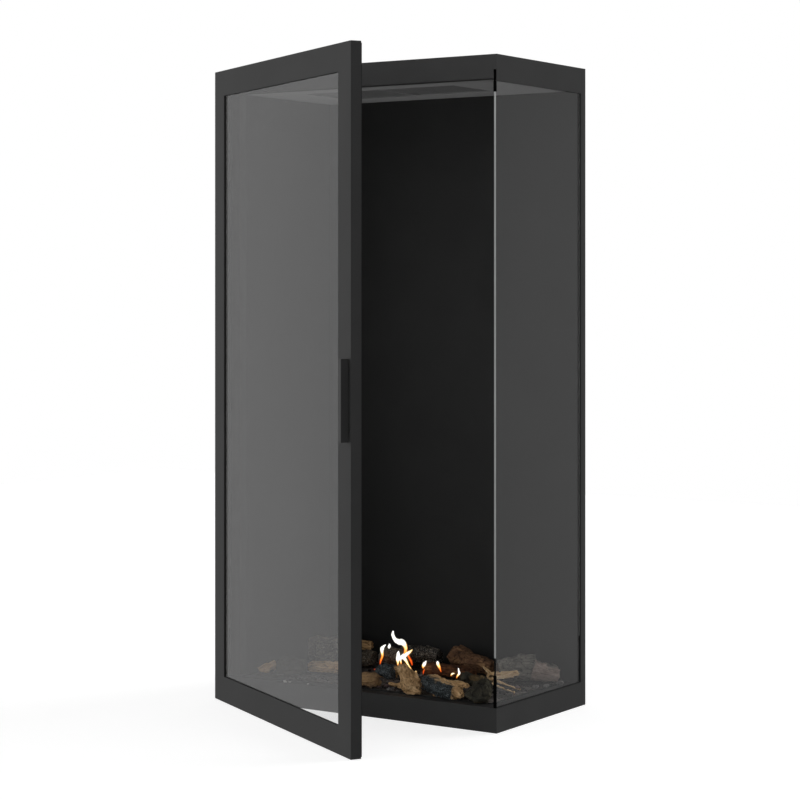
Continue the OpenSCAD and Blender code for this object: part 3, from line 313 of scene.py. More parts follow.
ground = add(tree, "ShaderNodeMixShader", {0: mirrored, 1: lit.outputs[0], 2: absent.outputs[0]})
surface(tree, ground)
floor.data.materials.append(pale)
print("floor", 2 * FLOOR_HALF, "m across")

# %% [markdown]
# ## Sprayed coats
# The casing and the door are folded steel with a baked powder coat. Powder melts into a skin that is
# never quite flat: it keeps a fine dimpled grain, which breaks the gloss and gives the eye an even,
# dead black. The chamber lining is a thinner heat-proof enamel, darker and a little rougher, and the
# ceiling plate wears a paler one. All three are the same process, so one function makes them.
# The real grain is about 0.4 mm. It would vanish at this size, so it is drawn three times as coarse.

# %% Sprayed steel
GRAIN_MM = 1.2
DIMPLE_MM = 0.1
CLOUD_MM = 90
GLOSS_SPREAD = 0.06


def sprayed_steel(name, colour, paler, roughness, dimple, index=1.5):
    """Steel under a sprayed and baked coat: a faint cloud of tone over a fine dimpled grain."""
    finish, tree = new_finish(name)
    place = on_piece(tree)
    cloud = noise_at(tree, place, CLOUD_MM, 3.0)
    grain = noise_at(tree, place, GRAIN_MM)
    mean = maths(tree, "MULTIPLY", maths(tree, "ADD", cloud, grain), 0.5)
    tone = ramp(tree, mean, [(0.35, colour), (0.65, paler)])
    gloss = spread(tree, grain, roughness - GLOSS_SPREAD, roughness + GLOSS_SPREAD)
    coat_with(tree, {"Base Color": tone, "Roughness": gloss, "IOR": index,
                     "Normal": dimples(tree, grain, dimple, DIMPLE_MM)})
    return finish


powder_coat = sprayed_steel("matt_black_powder_coat", "#303030", "#363636", 0.62, 0.35)
lining_enamel = sprayed_steel("heat_proof_black_enamel", "#252525", "#2A2A2A", 0.75, 0.3)
ceiling_enamel = sprayed_steel("heat_proof_grey_enamel", "#848484", "#8C8C8C", 0.6, 0.3)
grille_enamel = sprayed_steel("grey_enamel_on_mesh", "#6A6A6A", "#727272", 0.6, 0.3)
handle_coat = sprayed_steel("satin_black_coat", "#2A2A2A", "#303030", 0.4, 0.2)
clip_coat = sprayed_steel("plain_black_coat", "#030303", "#060606", 0.8, 0.2, 1.12)
print("six sprayed coats")

# %% [markdown]
# ## Bare metals
# Screws, hinge leaves, the plenum and the spigots are zinc-plated sheet and turned steel. Zinc plate is
# a grey metal with a faint spangle. The gas pipe and the inlet are brass, drawn and turned, so fine
# lines run round them.

# %% Zinc plate and brass
PATCH_GLOSS = 0.12


def bare_metal(name, colour, paler, roughness, patch_mm, stretch):
    """Metal with a faint patchwork of tone: crystals of plating, or the lines that a tool leaves."""
    finish, tree = new_finish(name)
    place = on_piece(tree)
    drawn = add(tree, "ShaderNodeMapping", {"Vector": place, "Scale": stretch})
    patch = grains_at(tree, drawn.outputs[0], patch_mm)
    tone = ramp(tree, patch, [(0.1, colour), (0.9, paler)])
    gloss = spread(tree, patch, roughness, roughness + PATCH_GLOSS)
    coat_with(tree, {"Base Color": tone, "Metallic": 1.0, "Roughness": gloss})
    return finish


zinc_plate = bare_metal("zinc_plated_steel", "#9C9C98", "#B9B9B4", 0.34, 6, (1, 1, 1))
turned_brass = bare_metal("drawn_and_turned_brass", "#A8843F", "#C9A860", 0.28, 1.5, (1, 1, 0.1))
print("two bare metals")

# %% [markdown]
# ## Seals and the electrode posts
# The seals are a tight knit of glass fibre, dyed black: dead matt, with a fine ribbed surface. The
# electrode posts are glazed alumina, an off-white ceramic.

# %% Knitted seal and glazed ceramic
KNIT_MM = 1.0
RIB_MM = 0.3
MOTTLE_MM = 4


def knitted_seal():
    """Black glass-fibre rope and tape: matt, ribbed by its knit."""
    finish, tree = new_finish("black_glass_fibre_seal")
    place = on_piece(tree)
    knit = grains_at(tree, place, KNIT_MM)
    tone = ramp(tree, knit, [(0.0, "#303030"), (1.0, "#1C1C1C")])
    coat_with(tree, {"Base Color": tone, "Roughness": 0.9, "IOR": 1.5,
                     "Normal": dimples(tree, knit, 0.6, RIB_MM)})
    return finish


def glazed_alumina():
    """Off-white alumina under a clear glaze, faintly mottled."""
    finish, tree = new_finish("glazed_alumina")
    place = on_piece(tree)
    tone = ramp(tree, noise_at(tree, place, MOTTLE_MM), [(0.3, "#B9B0A2"), (0.7, "#D4CCBE")])
    coat_with(tree, {"Base Color": tone, "Roughness": 0.35, "IOR": 1.6, "Coat Weight": 0.5,
                     "Coat Roughness": 0.1})
    return finish


fibre_seal = knitted_seal()
alumina = glazed_alumina()
print("seal and ceramic")

# %% [markdown]
# ## Ceramic glass
# Both panes are 4 mm glass ceramic, which is clear with a faint smoky cast. It has no texture, so what
# shows is its thickness, its two mirror faces and its tint. A faint haze in the gloss stands for the
# film that a fire leaves. Light from the lamps has to reach the chamber, and a refracting pane would
# stop it, so for shadow rays alone the pane is a plain tinted filter.
# The side pane's front edge stands bare in the doorway. It is ground with a fine stone, so it scatters
# light, and the eye sees it as a thin pale line. The line shows black just above the lower clip, so the
# edge is painted black from the clip up to 32 mm above it.

# %% Smoky clear glass
FILM_MM = 60
FILM_HAZE = 0.02
BLACK_EDGE_MM = 32
# One node holds both clips: the points under this height belong to the lower one.
BETWEEN_CLIPS = 0.5
clip_heights = [v.co.z for v in nodes["side_glass_clip"].data.vertices]
BLACK_EDGE_TOP = max(z for z in clip_heights if z < BETWEEN_CLIPS) + BLACK_EDGE_MM * MM


def ceramic_glass(name, ground_edge):
    """A refracting pane that lets lamp light through as a tinted filter. Its narrow faces may be ground."""
    finish, tree = new_finish(name)
    place = on_piece(tree)
    haze = spread(tree, noise_at(tree, place, FILM_MM), 0.0, FILM_HAZE, 0.4, 0.7)
    pane = add(tree, "ShaderNodeBsdfPrincipled", {"Base Color": linear("#FAFAFA"), "IOR": 1.5,
                                                  "Roughness": haze,
                                                  "Transmission Weight": 1.0})
    tint = add(tree, "ShaderNodeBsdfTransparent", {"Color": linear("#F8F8F8")})
    path = add(tree, "ShaderNodeLightPath")
    mix = add(tree, "ShaderNodeMixShader", {0: path.outputs["Is Shadow Ray"], 1: pane.outputs[0],
                                            2: tint.outputs[0]})
    if ground_edge:
        outward = add(tree, "ShaderNodeNewGeometry").outputs["True Normal"]
        facing = add(tree, "ShaderNodeSeparateXYZ", {0: outward})
        narrow = maths(tree, "LESS_THAN", maths(tree, "ABSOLUTE", facing.outputs["X"]), 0.5)
        height = add(tree, "ShaderNodeSeparateXYZ", {0: place})
        # Under this height the ground edge is painted black.
        above_black = spread(tree, height.outputs["Z"], 0.0, 1.0, BLACK_EDGE_TOP - 1 * MM, BLACK_EDGE_TOP + 1 * MM)
        tone = ramp(tree, above_black, [(0.0, "#050505"), (1.0, "#B2B4B3")])
        ground = add(tree, "ShaderNodeBsdfPrincipled", {"Base Color": tone, "IOR": 1.3, "Roughness": 0.6})
        mix = add(tree, "ShaderNodeMixShader", {0: narrow, 1: mix.outputs[0], 2: ground.outputs[0]})
    surface(tree, mix)
    return finish


smoky_glass = ceramic_glass("clear_glass_ceramic", False)
ground_glass = ceramic_glass("clear_glass_ceramic_with_ground_edge", True)
print("two kinds of pane")

# %% [markdown]
# ## Fired logs: the colours
# The logs are moulded in light ceramic fibre from real wood and painted by hand. Their shape carries
# the bark and the split faces, so the finish reads three numbers that the shaping step below leaves
# on every point: how much of the point is bark, how deep it lies in a crack, and the tone of its plate or
# splinter. The colour is pale away from the cracks and dark in them. That darkness is partly the dark
# paint of the casting's cracks and partly painted shade. The streaks run along each limb, because the
# shaping step also stores every point's place along and across its own limb.

# %% Painted ceramic fibre
STREAK_MM = 2.4
STREAK_RUN = 0.06
BLOTCH_MM = 22
FLECK_MM = 1.6


def painted_log(name, bark, wood, roughness, ash_and_glint_colour="#8C8F90", ash_and_glint_share=0.0):
    """Bark and wood colours as (crack, body, ridge), mixed by the shape's own marks, and pale flecks on the
    bark: ash, and on the glossy charred log painted glints.
    """
    finish, tree = new_finish(name)
    along = stored(tree, "along_log", "Vector")
    is_bark = stored(tree, "bark")
    depth = stored(tree, "crack")
    shade = stored(tree, "shade")
    drawn = add(tree, "ShaderNodeMapping", {"Vector": along, "Scale": (STREAK_RUN, 1, 1)})
    streak = noise_at(tree, drawn.outputs[0], STREAK_MM, 4.0, Roughness=0.6)
    blotch = noise_at(tree, along, BLOTCH_MM, 5.0)
    fleck = noise_at(tree, along, FLECK_MM)
    open_part = maths(tree, "MULTIPLY_ADD", maths(tree, "ADD", blotch, streak), 0.5, shade)
    paint = maths(tree, "SUBTRACT", open_part, depth)
    bark_tone = ramp(tree, paint, [(0.02, bark[0]), (0.46, bark[1]), (0.66, bark[2])])
    wood_tone = ramp(tree, paint, [(0.20, wood[0]), (0.42, wood[1]), (0.60, wood[2])])
    coat = add(tree, "ShaderNodeMix", {0: is_bark, 6: wood_tone, 7: bark_tone}, data_type="RGBA")
    # Pale flecks on the bark: ash on most logs, and painted glints on the glossy charred log.
    ash = spread(tree, fleck, 0.0, 1.0, 0.72 - 0.3 * ash_and_glint_share, 0.80 - 0.3 * ash_and_glint_share)
    ash_and_glints_on_bark = maths(tree, "MULTIPLY", ash, is_bark)
    tone = add(tree, "ShaderNodeMix", {0: ash_and_glints_on_bark, 6: coat.outputs[2], 7: linear(ash_and_glint_colour)},
               data_type="RGBA")
    relief = dimples(tree, maths(tree, "ADD", streak, fleck), 0.5, 0.5)
    coat_with(tree, {"Base Color": tone.outputs[2], "Roughness": roughness, "IOR": 1.45,
                     "Normal": relief})
    return finish


SPLIT_BIRCH = ("#5A462E", "#C29B6D", "#EBCA9C")
# A paler copy of the split birch for the logs that lie in shade right of the doorway: painted light.
LIT_BIRCH = ("#846746", "#E0BC8C", "#F6DFBA")
# The front left log's own copy of the split wood. It is darker, which is painted shade, and its darkest
# colour is lifted, which is painted light on its shaded underside.
FRONT_LEFT_SPLIT = ("#5C4C3C", "#947656", "#AC8C62")
PALE_LOG_BARK = ("#17130F", "#4B3D2C", "#7E6848")
LOG_FINISHES = {
    "pale_split": painted_log("pale_split_log", PALE_LOG_BARK, SPLIT_BIRCH, 0.85),
    # The paler copy of the split birch: painted light on logs that lie in shade.
    "painted_lit_split": painted_log("painted_lit_split_log", PALE_LOG_BARK, LIT_BIRCH, 0.85),
    # The front left log's bark is lifted above the other split logs' bark: painted light on its shaded
    # underside.
    "front_left_split": painted_log("front_left_split_log", ("#2C2620", "#665444", "#8E785A"), FRONT_LEFT_SPLIT, 0.85),
    "blue_char": painted_log("blue_black_charred_log", ("#040506", "#2B3032", "#626A6D"), SPLIT_BIRCH, 0.7,
                             "#8C9497", 0.42),
    "rust_bark": painted_log("rust_brown_bark_log", ("#1C120B", "#745640", "#AC8660"),
                             ("#3A2717", "#7A5636", "#A27C52"), 0.85),
    "red_bark": painted_log("red_brown_bark_log", ("#140A06", "#5E3C28", "#8C6039"),
                            ("#3A2012", "#855736", "#A8794C"), 0.8),
    # The glossy charred log's pale ridge colour and pale flecks are painted glints on its black bark.
    "glossy_char": painted_log("glossy_charred_log", ("#020202", "#1E1A17", "#8A8278"), SPLIT_BIRCH, 0.28,
                               "#C8C2B6", 0.42),
    "olive_char": painted_log("olive_black_charred_log", ("#0E0D0A", "#37352D", "#524D3E"),
                              ("#2B2419", "#5A4B33", "#7C6747"), 0.75),
    "dark_bark": painted_log("dark_brown_bark_log", ("#120E0B", "#4C443A", "#80735F"), SPLIT_BIRCH, 0.8,
                              "#A8A296", 0.4),
    "grey_bark": painted_log("grey_bark_log", ("#35332F", "#7C7870", "#9E9A90"),
                             ("#7E6E64", "#9C8B82", "#AE9E94"), 0.85),
}
print(len(LOG_FINISHES), "log finishes")

# %% [markdown]
# ## Shaping the logs
# Each log in the frame is the plain form of its casting: axis, ends, bends and flat seats. A casting
# also has bark, and that has to be real shape. One way is to sculpt each log. Here every log is shaped by
# one rule instead, so that all the bark has one character: the plain form is remeshed to an even skin,
# softened, and moved inwards point by point.
# Bark breaks into plates, long with the log and narrow round it. The plates are the cells of a Voronoi
# pattern stretched along the axis, and the cracks are the lines between cells. Split wood has long
# shallow flutes, drying checks and torn ends instead. Both are broken by flat hewn facets. No point
# moves outwards, so the logs never grow into each other.
# A forked log has several limbs. Each limb has its own axis, so every point belongs to the limb whose
# axis runs nearest, and its plates and streaks follow that limb.

# %% The frame of one limb
class Limb:
    """One limb of a casting: its axis in millimetres, its radius, and where and how much of it is bark."""

    def __init__(self, start, end, radius, bark_towards, bark_share):
        self.start = np.array(start, float)
        self.run = np.array(end, float) - self.start
        self.length = np.linalg.norm(self.run)
        self.axis = self.run / self.length
        self.across = np.cross((0, 0, 1), self.axis)
        self.across /= np.linalg.norm(self.across)
        self.upward = np.cross(self.axis, self.across)
        self.radius = radius
        self.bark_towards = np.array(Vector(bark_towards).normalized())
        self.bark_share = bark_share

    def places(self, points):
        """Every point's place along, across and above the axis, and its distance from the axis in radii."""
        away = points - self.start
        along = away @ self.axis
        nearest = np.clip(along, 0, self.length)[:, None] * self.axis
        local = np.stack([along, away @ self.across, away @ self.upward], 1)
        return local, np.linalg.norm(away - nearest, axis=1) / self.radius


def even_skin(source, name, voxel, rounds):
    """A copy of a node's mesh with an even skin of small faces and softened corners."""
    rough = placed(name, source.data.copy())
    remesh = rough.modifiers.new("even", "REMESH")
    remesh.mode = "VOXEL"
    remesh.voxel_size = voxel
    soften = rough.modifiers.new("soften", "SMOOTH")
    soften.factor = 0.5
    soften.iterations = rounds
    bpy.context.view_layer.update()
    graph = bpy.context.evaluated_depsgraph_get()
    mesh = bpy.data.meshes.new_from_object(rough.evaluated_get(graph))
    bpy.data.objects.remove(rough)
    mesh.name = name
    mesh.materials.clear()
    mesh.shade_smooth()
    return placed(name, mesh)


# %% Bark, splinters and cracks
PLATE_STEP_MM = 1.7
FURROW_MM = 1.4
FIBRE_STEP_MM = 0.3
CHECK_STEP_MM = 0.7
SPLINTER_STEP_MM = 1.3
TORN_MM = 4.0
# Length and width of a splinter, a fibre and a drying check; size and depth of a hewn flat.
SPLINTER_MM = (70, 7)
FIBRE_MM = (30, 2.6)
CHECK_MM = (34, 6)
HEWN_MM = (16, 3.4)
FLAT_TILT = 1.7
FURROWS_PER_PLATE = 1.6
# Widths of the cracks, as shares of the pattern that they run in.
EDGE_WIDTH = 0.16
FURROW_WIDTH = 0.13
CHECK_WIDTH = 0.07
# How much darker each kind of crack is painted, and how much the tone differs from piece to piece.
# The darker paint in the cracks stands partly for the casting's own dark paint and partly for painted
# shade.
EDGE_PAINT = 0.16
FURROW_PAINT = 0.30
FLUTE_PAINT = 0.10
FIBRE_PAINT = 0.06
CHECK_PAINT = 0.20
SPLINTER_TONE = 0.10
PLATE_TONE = 0.14
# How far the line between bark and wood wanders and blurs, and what counts as a log's end.
WANDER = 0.22
WANDER_MM = 12
EDGE_BLUR = 0.1
BARE_END = (0.72, 0.85)
TORN_END = (0.5, 0.85)
# Spreads the middles of the cells over the lattice that the cell noise reads.
CELL_KEY = 7.3


def smooth_step(low, high, value):
    """From 0 at low to 1 at high, level at both ends."""
    share = min(1, max(0, (value - low) / (high - low)))
    return share * share * (3 - 2 * share)


def stretched(place, long_mm, narrow_mm):
    """A place counted in steps that are long with the limb and narrow across it."""
    return Vector((place[0] / long_mm, place[1] / narrow_mm, place[2] / narrow_mm))


def cells(place, long_mm, narrow_mm, shift):
    """The plate that a place lies on: a step height of its own, and how near its edge is."""
    spot = stretched(place, long_mm, narrow_mm) + shift
    spot += noise.noise_vector(spot * 1.3) * 0.5
    distances, centres = noise.voronoi(spot)
    inside = smooth_step(0.0, EDGE_WIDTH, distances[1] - distances[0])
    return 0.5 + 0.5 * noise.cell(centres[0] * CELL_KEY), inside


def hewn(place, size_mm, shift):
    """From 0 to 1: how deep a place lies in a broken face, made of tilted flats that meet in edges."""
    spot = Vector(place) / size_mm + shift
    spot += noise.noise_vector(spot * 0.9) * 0.3
    centres = noise.voronoi(spot)[1]
    tilt = noise.cell_vector(centres[0] * CELL_KEY) - Vector((0.5, 0.5, 0.5))
    return min(1, max(0, 0.5 + (spot - centres[0]).dot(tilt) * FLAT_TILT))


def bark_at(place, plate_mm, shift):
    """Depth in millimetres, crack mark and tone of bark."""
    step, inside = cells(place, *plate_mm, shift)
    spot = stretched(place, *plate_mm) * FURROWS_PER_PLATE + shift
    furrow = 1 - smooth_step(0.0, FURROW_WIDTH, abs(noise.noise(spot)))
    depth = PLATE_STEP_MM * step + FURROW_MM * (0.6 * furrow + 0.5 * (1 - inside))
    crack = FURROW_PAINT * furrow + EDGE_PAINT * (1 - inside)
    return depth, crack, PLATE_TONE * (0.5 - step)


def wood_at(place, end_on, shift):
    """Depth in millimetres, crack mark and tone of split wood, whose ends are torn fibre by fibre."""
    step, inside = cells(place, *SPLINTER_MM, shift)
    fibre = 0.5 - 0.5 * noise.noise(stretched(place, *FIBRE_MM) + shift)
    check = 1 - smooth_step(0.0, CHECK_WIDTH, abs(noise.noise(stretched(place, *CHECK_MM) + shift)))
    depth = (SPLINTER_STEP_MM + TORN_MM * end_on) * step + FIBRE_STEP_MM * fibre + CHECK_STEP_MM * check
    crack = FLUTE_PAINT * (1 - inside) + FIBRE_PAINT * fibre + CHECK_PAINT * check
    return depth, crack, SPLINTER_TONE * (0.5 - step)


print("bark steps of", PLATE_STEP_MM, "mm, splinters of", SPLINTER_STEP_MM, "mm")

# %% Shape one log
SKIN_MM = 1.5
SOFTEN_ROUNDS = 3
# Keeps the painted streaks of two limbs apart.
PAINT_SHIFT_MM = 40


def rows_of(mesh, kind):
    """Every point's place or direction, in rows of three."""
    values = np.empty(len(mesh.vertices) * 3)
    mesh.vertices.foreach_get(kind, values)
    return values.reshape(-1, 3)


def shape_log(piece, limbs, plate_mm, seed):
    """Moves a casting's points in to bark plates and splinters, and stores the marks the finish reads."""
    mesh = piece.data
    points = rows_of(mesh, "co")
    normals = rows_of(mesh, "normal")
    found = [limb.places(points / MM) for limb in limbs]
    nearest = np.argmin([reach for _, reach in found], axis=0)
    marks = {"bark": [], "crack": [], "shade": []}
    places = []
    for k, which in enumerate(nearest):
        limb = limbs[which]
        place = found[which][0][k]
        # Every limb reads a part of the noise of its own.
        shift = Vector((seed * 3.7, seed * 1.1, seed * 2.3 + which * 5.0))
        wander = WANDER * noise.noise(Vector(place) / WANDER_MM + shift)
        facing = float(normals[k] @ limb.bark_towards) + wander
        endways = abs(float(normals[k] @ limb.axis))
        edge = 1 - 2 * limb.bark_share
        bark = smooth_step(edge - EDGE_BLUR, edge + EDGE_BLUR, facing)
        if limb.bark_share < 1:
            bark *= 1 - smooth_step(*BARE_END, endways)
        end_on = smooth_step(*TORN_END, endways)
        bark_depth, bark_crack, bark_tone = bark_at(place, plate_mm, shift)
        wood_depth, wood_crack, wood_tone = wood_at(place, end_on, shift)
        depth = bark * bark_depth + (1 - bark) * wood_depth + HEWN_MM[1] * hewn(place, HEWN_MM[0], shift)
        points[k] -= normals[k] * depth * MM
        marks["bark"].append(bark)
        marks["crack"].append(bark * bark_crack + (1 - bark) * wood_crack)
        marks["shade"].append(bark * bark_tone + (1 - bark) * wood_tone)
        places.append((place + np.array(shift) * PAINT_SHIFT_MM) * MM)
    mesh.vertices.foreach_set("co", points.ravel())
    for name, values in marks.items():
        mark = mesh.attributes.new(name, "FLOAT", "POINT")
        mark.data.foreach_set("value", np.array(values, np.float32))
    along = mesh.attributes.new("along_log", "FLOAT_VECTOR", "POINT")
    along.data.foreach_set("vector", np.array(places, np.float32).ravel())
    mesh.update()


print("skin of", SKIN_MM, "mm faces, softened", SOFTEN_ROUNDS, "times")

# %% [markdown]
# ## The log set
# Sixteen castings lie on the bed, two of them in one node. For each: its finish, the length and width
# of a bark plate in millimetres, and its limbs. A limb has two axis ends and a radius in millimetres,
# the side that its bark faces, and how much of it is bark: 1 is bark all over, its ends too.

# %% Lay out the log set
UP = (0, 0, 1)
UNDER = (0, 0.4, -1)
LOG_SET = {
    # The front left log: split wood painted darker (painted shade), with its darkest parts and its bark
    # lifted (painted light).
    "log_front_left": ("front_left_split", (26, 8), [
        Limb((-36, -130, 56), (18, -130, 62), 18, (0.4, 0.3, -1), 0.25)]),
    "log_front_fork": ("blue_char", (16, 10), [
        Limb((64, -94, 85), (109, -134, 61), 18, UNDER, 0.1),
        Limb((97, -140, 61), (58, -130, 60), 7, UNDER, 0.1),
        Limb((20, -98, 78), (44, -106, 78), 18, UP, 1),
        Limb((109, -142, 54), (132, -142, 52), 10, UNDER, 0.1)]),
    "log_front_centre": ("blue_char", (34, 9), [
        Limb((145, -120, 67), (200, -136, 61), 22, (-0.68, -0.62, -0.4), 0.60),
        Limb((190, -116, 71), (231, -132, 75), 10, UNDER, 0.1),
        Limb((216, -144, 64), (228, -148, 59), 11, UNDER, 0.1)]),
    "log_front_right": ("olive_char", (60, 26), [
        Limb((239, -92, 68), (264, -136, 66), 24, UP, 1),
        Limb((222, -88, 86), (242, -102, 84), 12, (0, 0, -1), 0.1),
        Limb((195, -74, 78), (222, -81, 74), 14, UP, 1),
        Limb((249, -144, 60), (275, -144, 57), 14, UP, 1)]),
    # The fork wears the paler copy of the split wood: painted light, as it lies in shade.
    "log_right_fork": ("painted_lit_split", (26, 8), [
        Limb((222, -24, 75), (250, 12, 78), 10, UNDER, 0.1),
        Limb((226, -30, 78), (195, -12, 90), 5, UNDER, 0.1),
        Limb((231, -38, 70), (211, -42, 73), 6, (-0.8, 0, -0.4), 0.55),
        Limb((226, -32, 72), (222, -40, 54), 8, UP, 1)]),
    # The sticks wear the paler copy of the split wood too: painted light, as they lie in shade.
    "log_sticks": ("painted_lit_split", (20, 5), [
        Limb((240, -50, 73), (270, -4, 50), 5, UNDER, 0.1),
        Limb((248, -71, 70), (276, -36, 50), 5, UNDER, 0.1)]),
    "log_back_right": ("rust_bark", (24, 13), [
        Limb((69, 106, 81), (77, 104, 81), 24, UP, 1),
        Limb((96, 98, 73), (151, 86, 70), 20, UP, 1)]),
    "log_right_end": ("grey_bark", (30, 12), [
        Limb((212, 60, 77), (233, 78, 80), 28, UP, 1),
        Limb((244, 84, 75), (273, 108, 66), 23, (-0.8, -0.2, 0.5), 0.45)]),
    "log_back_centre": ("glossy_char", (16, 11), [
        Limb((-36, 86, 76), (11, 92, 76), 23, UP, 1)]),
    "log_middle": ("red_bark", (38, 9), [
        Limb((43, 34, 63), (141, 20, 64), 17, UP, 1)]),
    "log_back_left": ("dark_bark", (18, 8), [
        Limb((-52, 38, 81), (-26, 46, 78), 22, UP, 1)]),
    "log_far_left": ("dark_bark", (30, 12), [
        Limb((-230, 40, 77), (-193, 66, 77), 27, UP, 1),
        Limb((-193, 68, 88), (-140, 84, 88), 14, UNDER, 0.3),
        Limb((-159, 46, 64), (-110, 44, 69), 18, UP, 1)]),
    "log_left_split": ("pale_split", (24, 8), [
        Limb((-246, -126, 57), (-233, -112, 65), 13, UNDER, 0.15)]),
    "log_left_bark": ("olive_char", (30, 6), [
        Limb((-200, -112, 62), (-178, -106, 62), 22, UP, 1)]),
    "log_left_centre": ("pale_split", (24, 8), [
        Limb((-161, -62, 61), (-88, -62, 64), 18, UNDER, 0.25)]),
}
# The record lists these six under the slot split_wood, and the rest under charred_bark.
log_pieces = {}
for seed, (node_name, (style, plate_mm, limbs)) in enumerate(LOG_SET.items()):
    piece = even_skin(nodes[node_name], node_name + "_cast", SKIN_MM * MM, SOFTEN_ROUNDS)
    shape_log(piece, limbs, plate_mm, seed + 1)
    piece.data.materials.append(LOG_FINISHES[style])
    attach(piece, "casing")
    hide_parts(node_name)
    log_pieces[node_name] = piece
print(len(log_pieces), "logs,", sum(len(p.data.polygons) for p in log_pieces.values()), "faces")

# %% [markdown]
# ## The ember bed
# The bed is a thin layer of vermiculite and ash with broken chips on it, a few of them glowing. The
# frame has it as one plain slab. Here a finer ground follows the slab's top, and several hundred chips
# lie on it, none of them where a log stands. The chips are squashed and broken balls, each with
# its own size and turn. A glowing chip gives off light from its hot patches.

# %% Ash and ember finishes
GRIT_MM = 3
DRIFT_MM = 35
CHIP_GRIT_MM = 5


def ash_ground():
    """Grey-brown ash over charcoal grit."""
    finish, tree = new_finish("ash_and_charcoal_grit")
    place = on_piece(tree)
    grit = noise_at(tree, place, GRIT_MM, 4.0)
    drift = noise_at(tree, place, DRIFT_MM, 3.0)
    mean = maths(tree, "MULTIPLY", maths(tree, "ADD", grit, drift), 0.5)
    tone = ramp(tree, mean, [(0.40, "#191614"), (0.50, "#4C4743"), (0.60, "#827C78")])
    coat_with(tree, {"Base Color": tone, "Roughness": 0.95, "IOR": 1.45,
                     "Normal": dimples(tree, grit, 0.8, 1.0)})
    return finish


def ember_chip(name, low, high, glow_hex="#000000", glow=0.0):
    """Broken vermiculite: low and high colours, and a glow of its own where it is hot."""
    finish, tree = new_finish(name)
    place = on_piece(tree)
    grit = noise_at(tree, place, CHIP_GRIT_MM, 4.0)
    tone = ramp(tree, grit, [(0.35, low), (0.65, high)])
    heat = ramp(tree, grit, [(0.40, "#000000"), (0.62, glow_hex)])
    coat_with(tree, {"Base Color": tone, "Roughness": 0.9, "IOR": 1.45, "Emission Color": heat,
                     "Emission Strength": glow})
    return finish


ash_finish = ash_ground()
chip_finishes = [
    ember_chip("charcoal_chip", "#12100F", "#2C2826"),
    ember_chip("ash_grey_chip", "#4C4A4A", "#8A8786"),
    ember_chip("rust_chip", "#2A1710", "#6B3A26"),
    ember_chip("glowing_chip", "#3A120A", "#7A2A14", "#FF4A14", 1.2),
    ember_chip("pink_grey_chip", "#5E4C4E", "#94807F"),
    # Pale chips that stand as painted glints on the front sill.
    ember_chip("painted_glint_chip", "#BCBAB6", "#E4E2DE"),
]
print("ash and", len(chip_finishes), "kinds of chip")

# %% What lies on the bed, and where
CHIP_COUNT = 620
CHIP_MM = (1.6, 4.2)
# How often each kind of chip comes.
CHIP_KINDS = (0.46, 0.26, 0.12, 0.12, 0.04, 0.0)
# The larger chunks that the photograph shows: x, y and size in millimetres, and the kind.
CHUNKS = [(19, -117, 9, 4), (34, -104, 7, 4), (8, -126, 6, 0), (57, -127, 7, 1), (80, -134, 5, 1),
          (298, 104, 8, 1), (-150, -120, 7, 1), (-128, -104, 6, 1), (150, -64, 8, 0), (172, -44, 7, 1),
          (60, -20, 7, 0), (278, 40, 7, 1), (252, 16, 6, 4), (288, 66, 6, 1)]
# Three pale chips on the front sill are painted glints.
GLINT_CHIPS = [(-162, -166, 4.0), (-154, -162, 3.4), (-113, -158, 2.8)]
CHARCOAL = 0
GLOWING = 3
PALE = 5
HOT_BED = (-100 * MM, 160 * MM, -30 * MM, 45 * MM)
LOG_CLEAR = 14 * MM
LOG_SINK = 4 * MM
# How far the ground lies under the slab's crests on average, and how much it rolls.
GROUND_MM = (2.2, 1.3)
ROLLS_PER_M = 28
DICE_SEED = 7

dice = random.Random(DICE_SEED)
low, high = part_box("ember_bed")
top = high.z
log_trees = [BVHTree.FromObject(p, bpy.context.evaluated_depsgraph_get()) for p in log_pieces.values()]
spark_low, spark_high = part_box("ignition_electrodes")


def made_piece(name, builder, finishes):
    """The object of a built mesh, with its finishes in the order of its slots."""
    mesh = bpy.data.meshes.new(name)
    builder.to_mesh(mesh)
    builder.free()
    for finish in finishes:
        mesh.materials.append(finish)
    return placed(name, mesh)


def under_log(x, y):
    """Whether a log lies on this place of the bed."""
    start = Vector((x, y, top - LOG_SINK))
    return any(t.ray_cast(start, Vector(UP), LOG_CLEAR + LOG_SINK)[0] for t in log_trees)


def at_electrodes(x, y, room):
    """Whether a place is at the electrodes, room away from them, or behind."""
    return spark_low.x - room < x < spark_high.x + room and spark_low.y - room < y < high.y


def bed_height(x, y):
    """Height of the loose ground, a little under the slab's crests."""
    roll = noise.fractal(Vector((x, y, 0)) * ROLLS_PER_M, 1.0, 2.0, 4)
    return top - (GROUND_MM[0] - GROUND_MM[1] * roll) * MM


print(len(CHUNKS), "chunks,", len(GLINT_CHIPS), "painted_glints and up to", CHIP_COUNT, "chips to lay")

# %% The ground
CELL_MM = 3.0
GROUND_GAP = 1 * MM

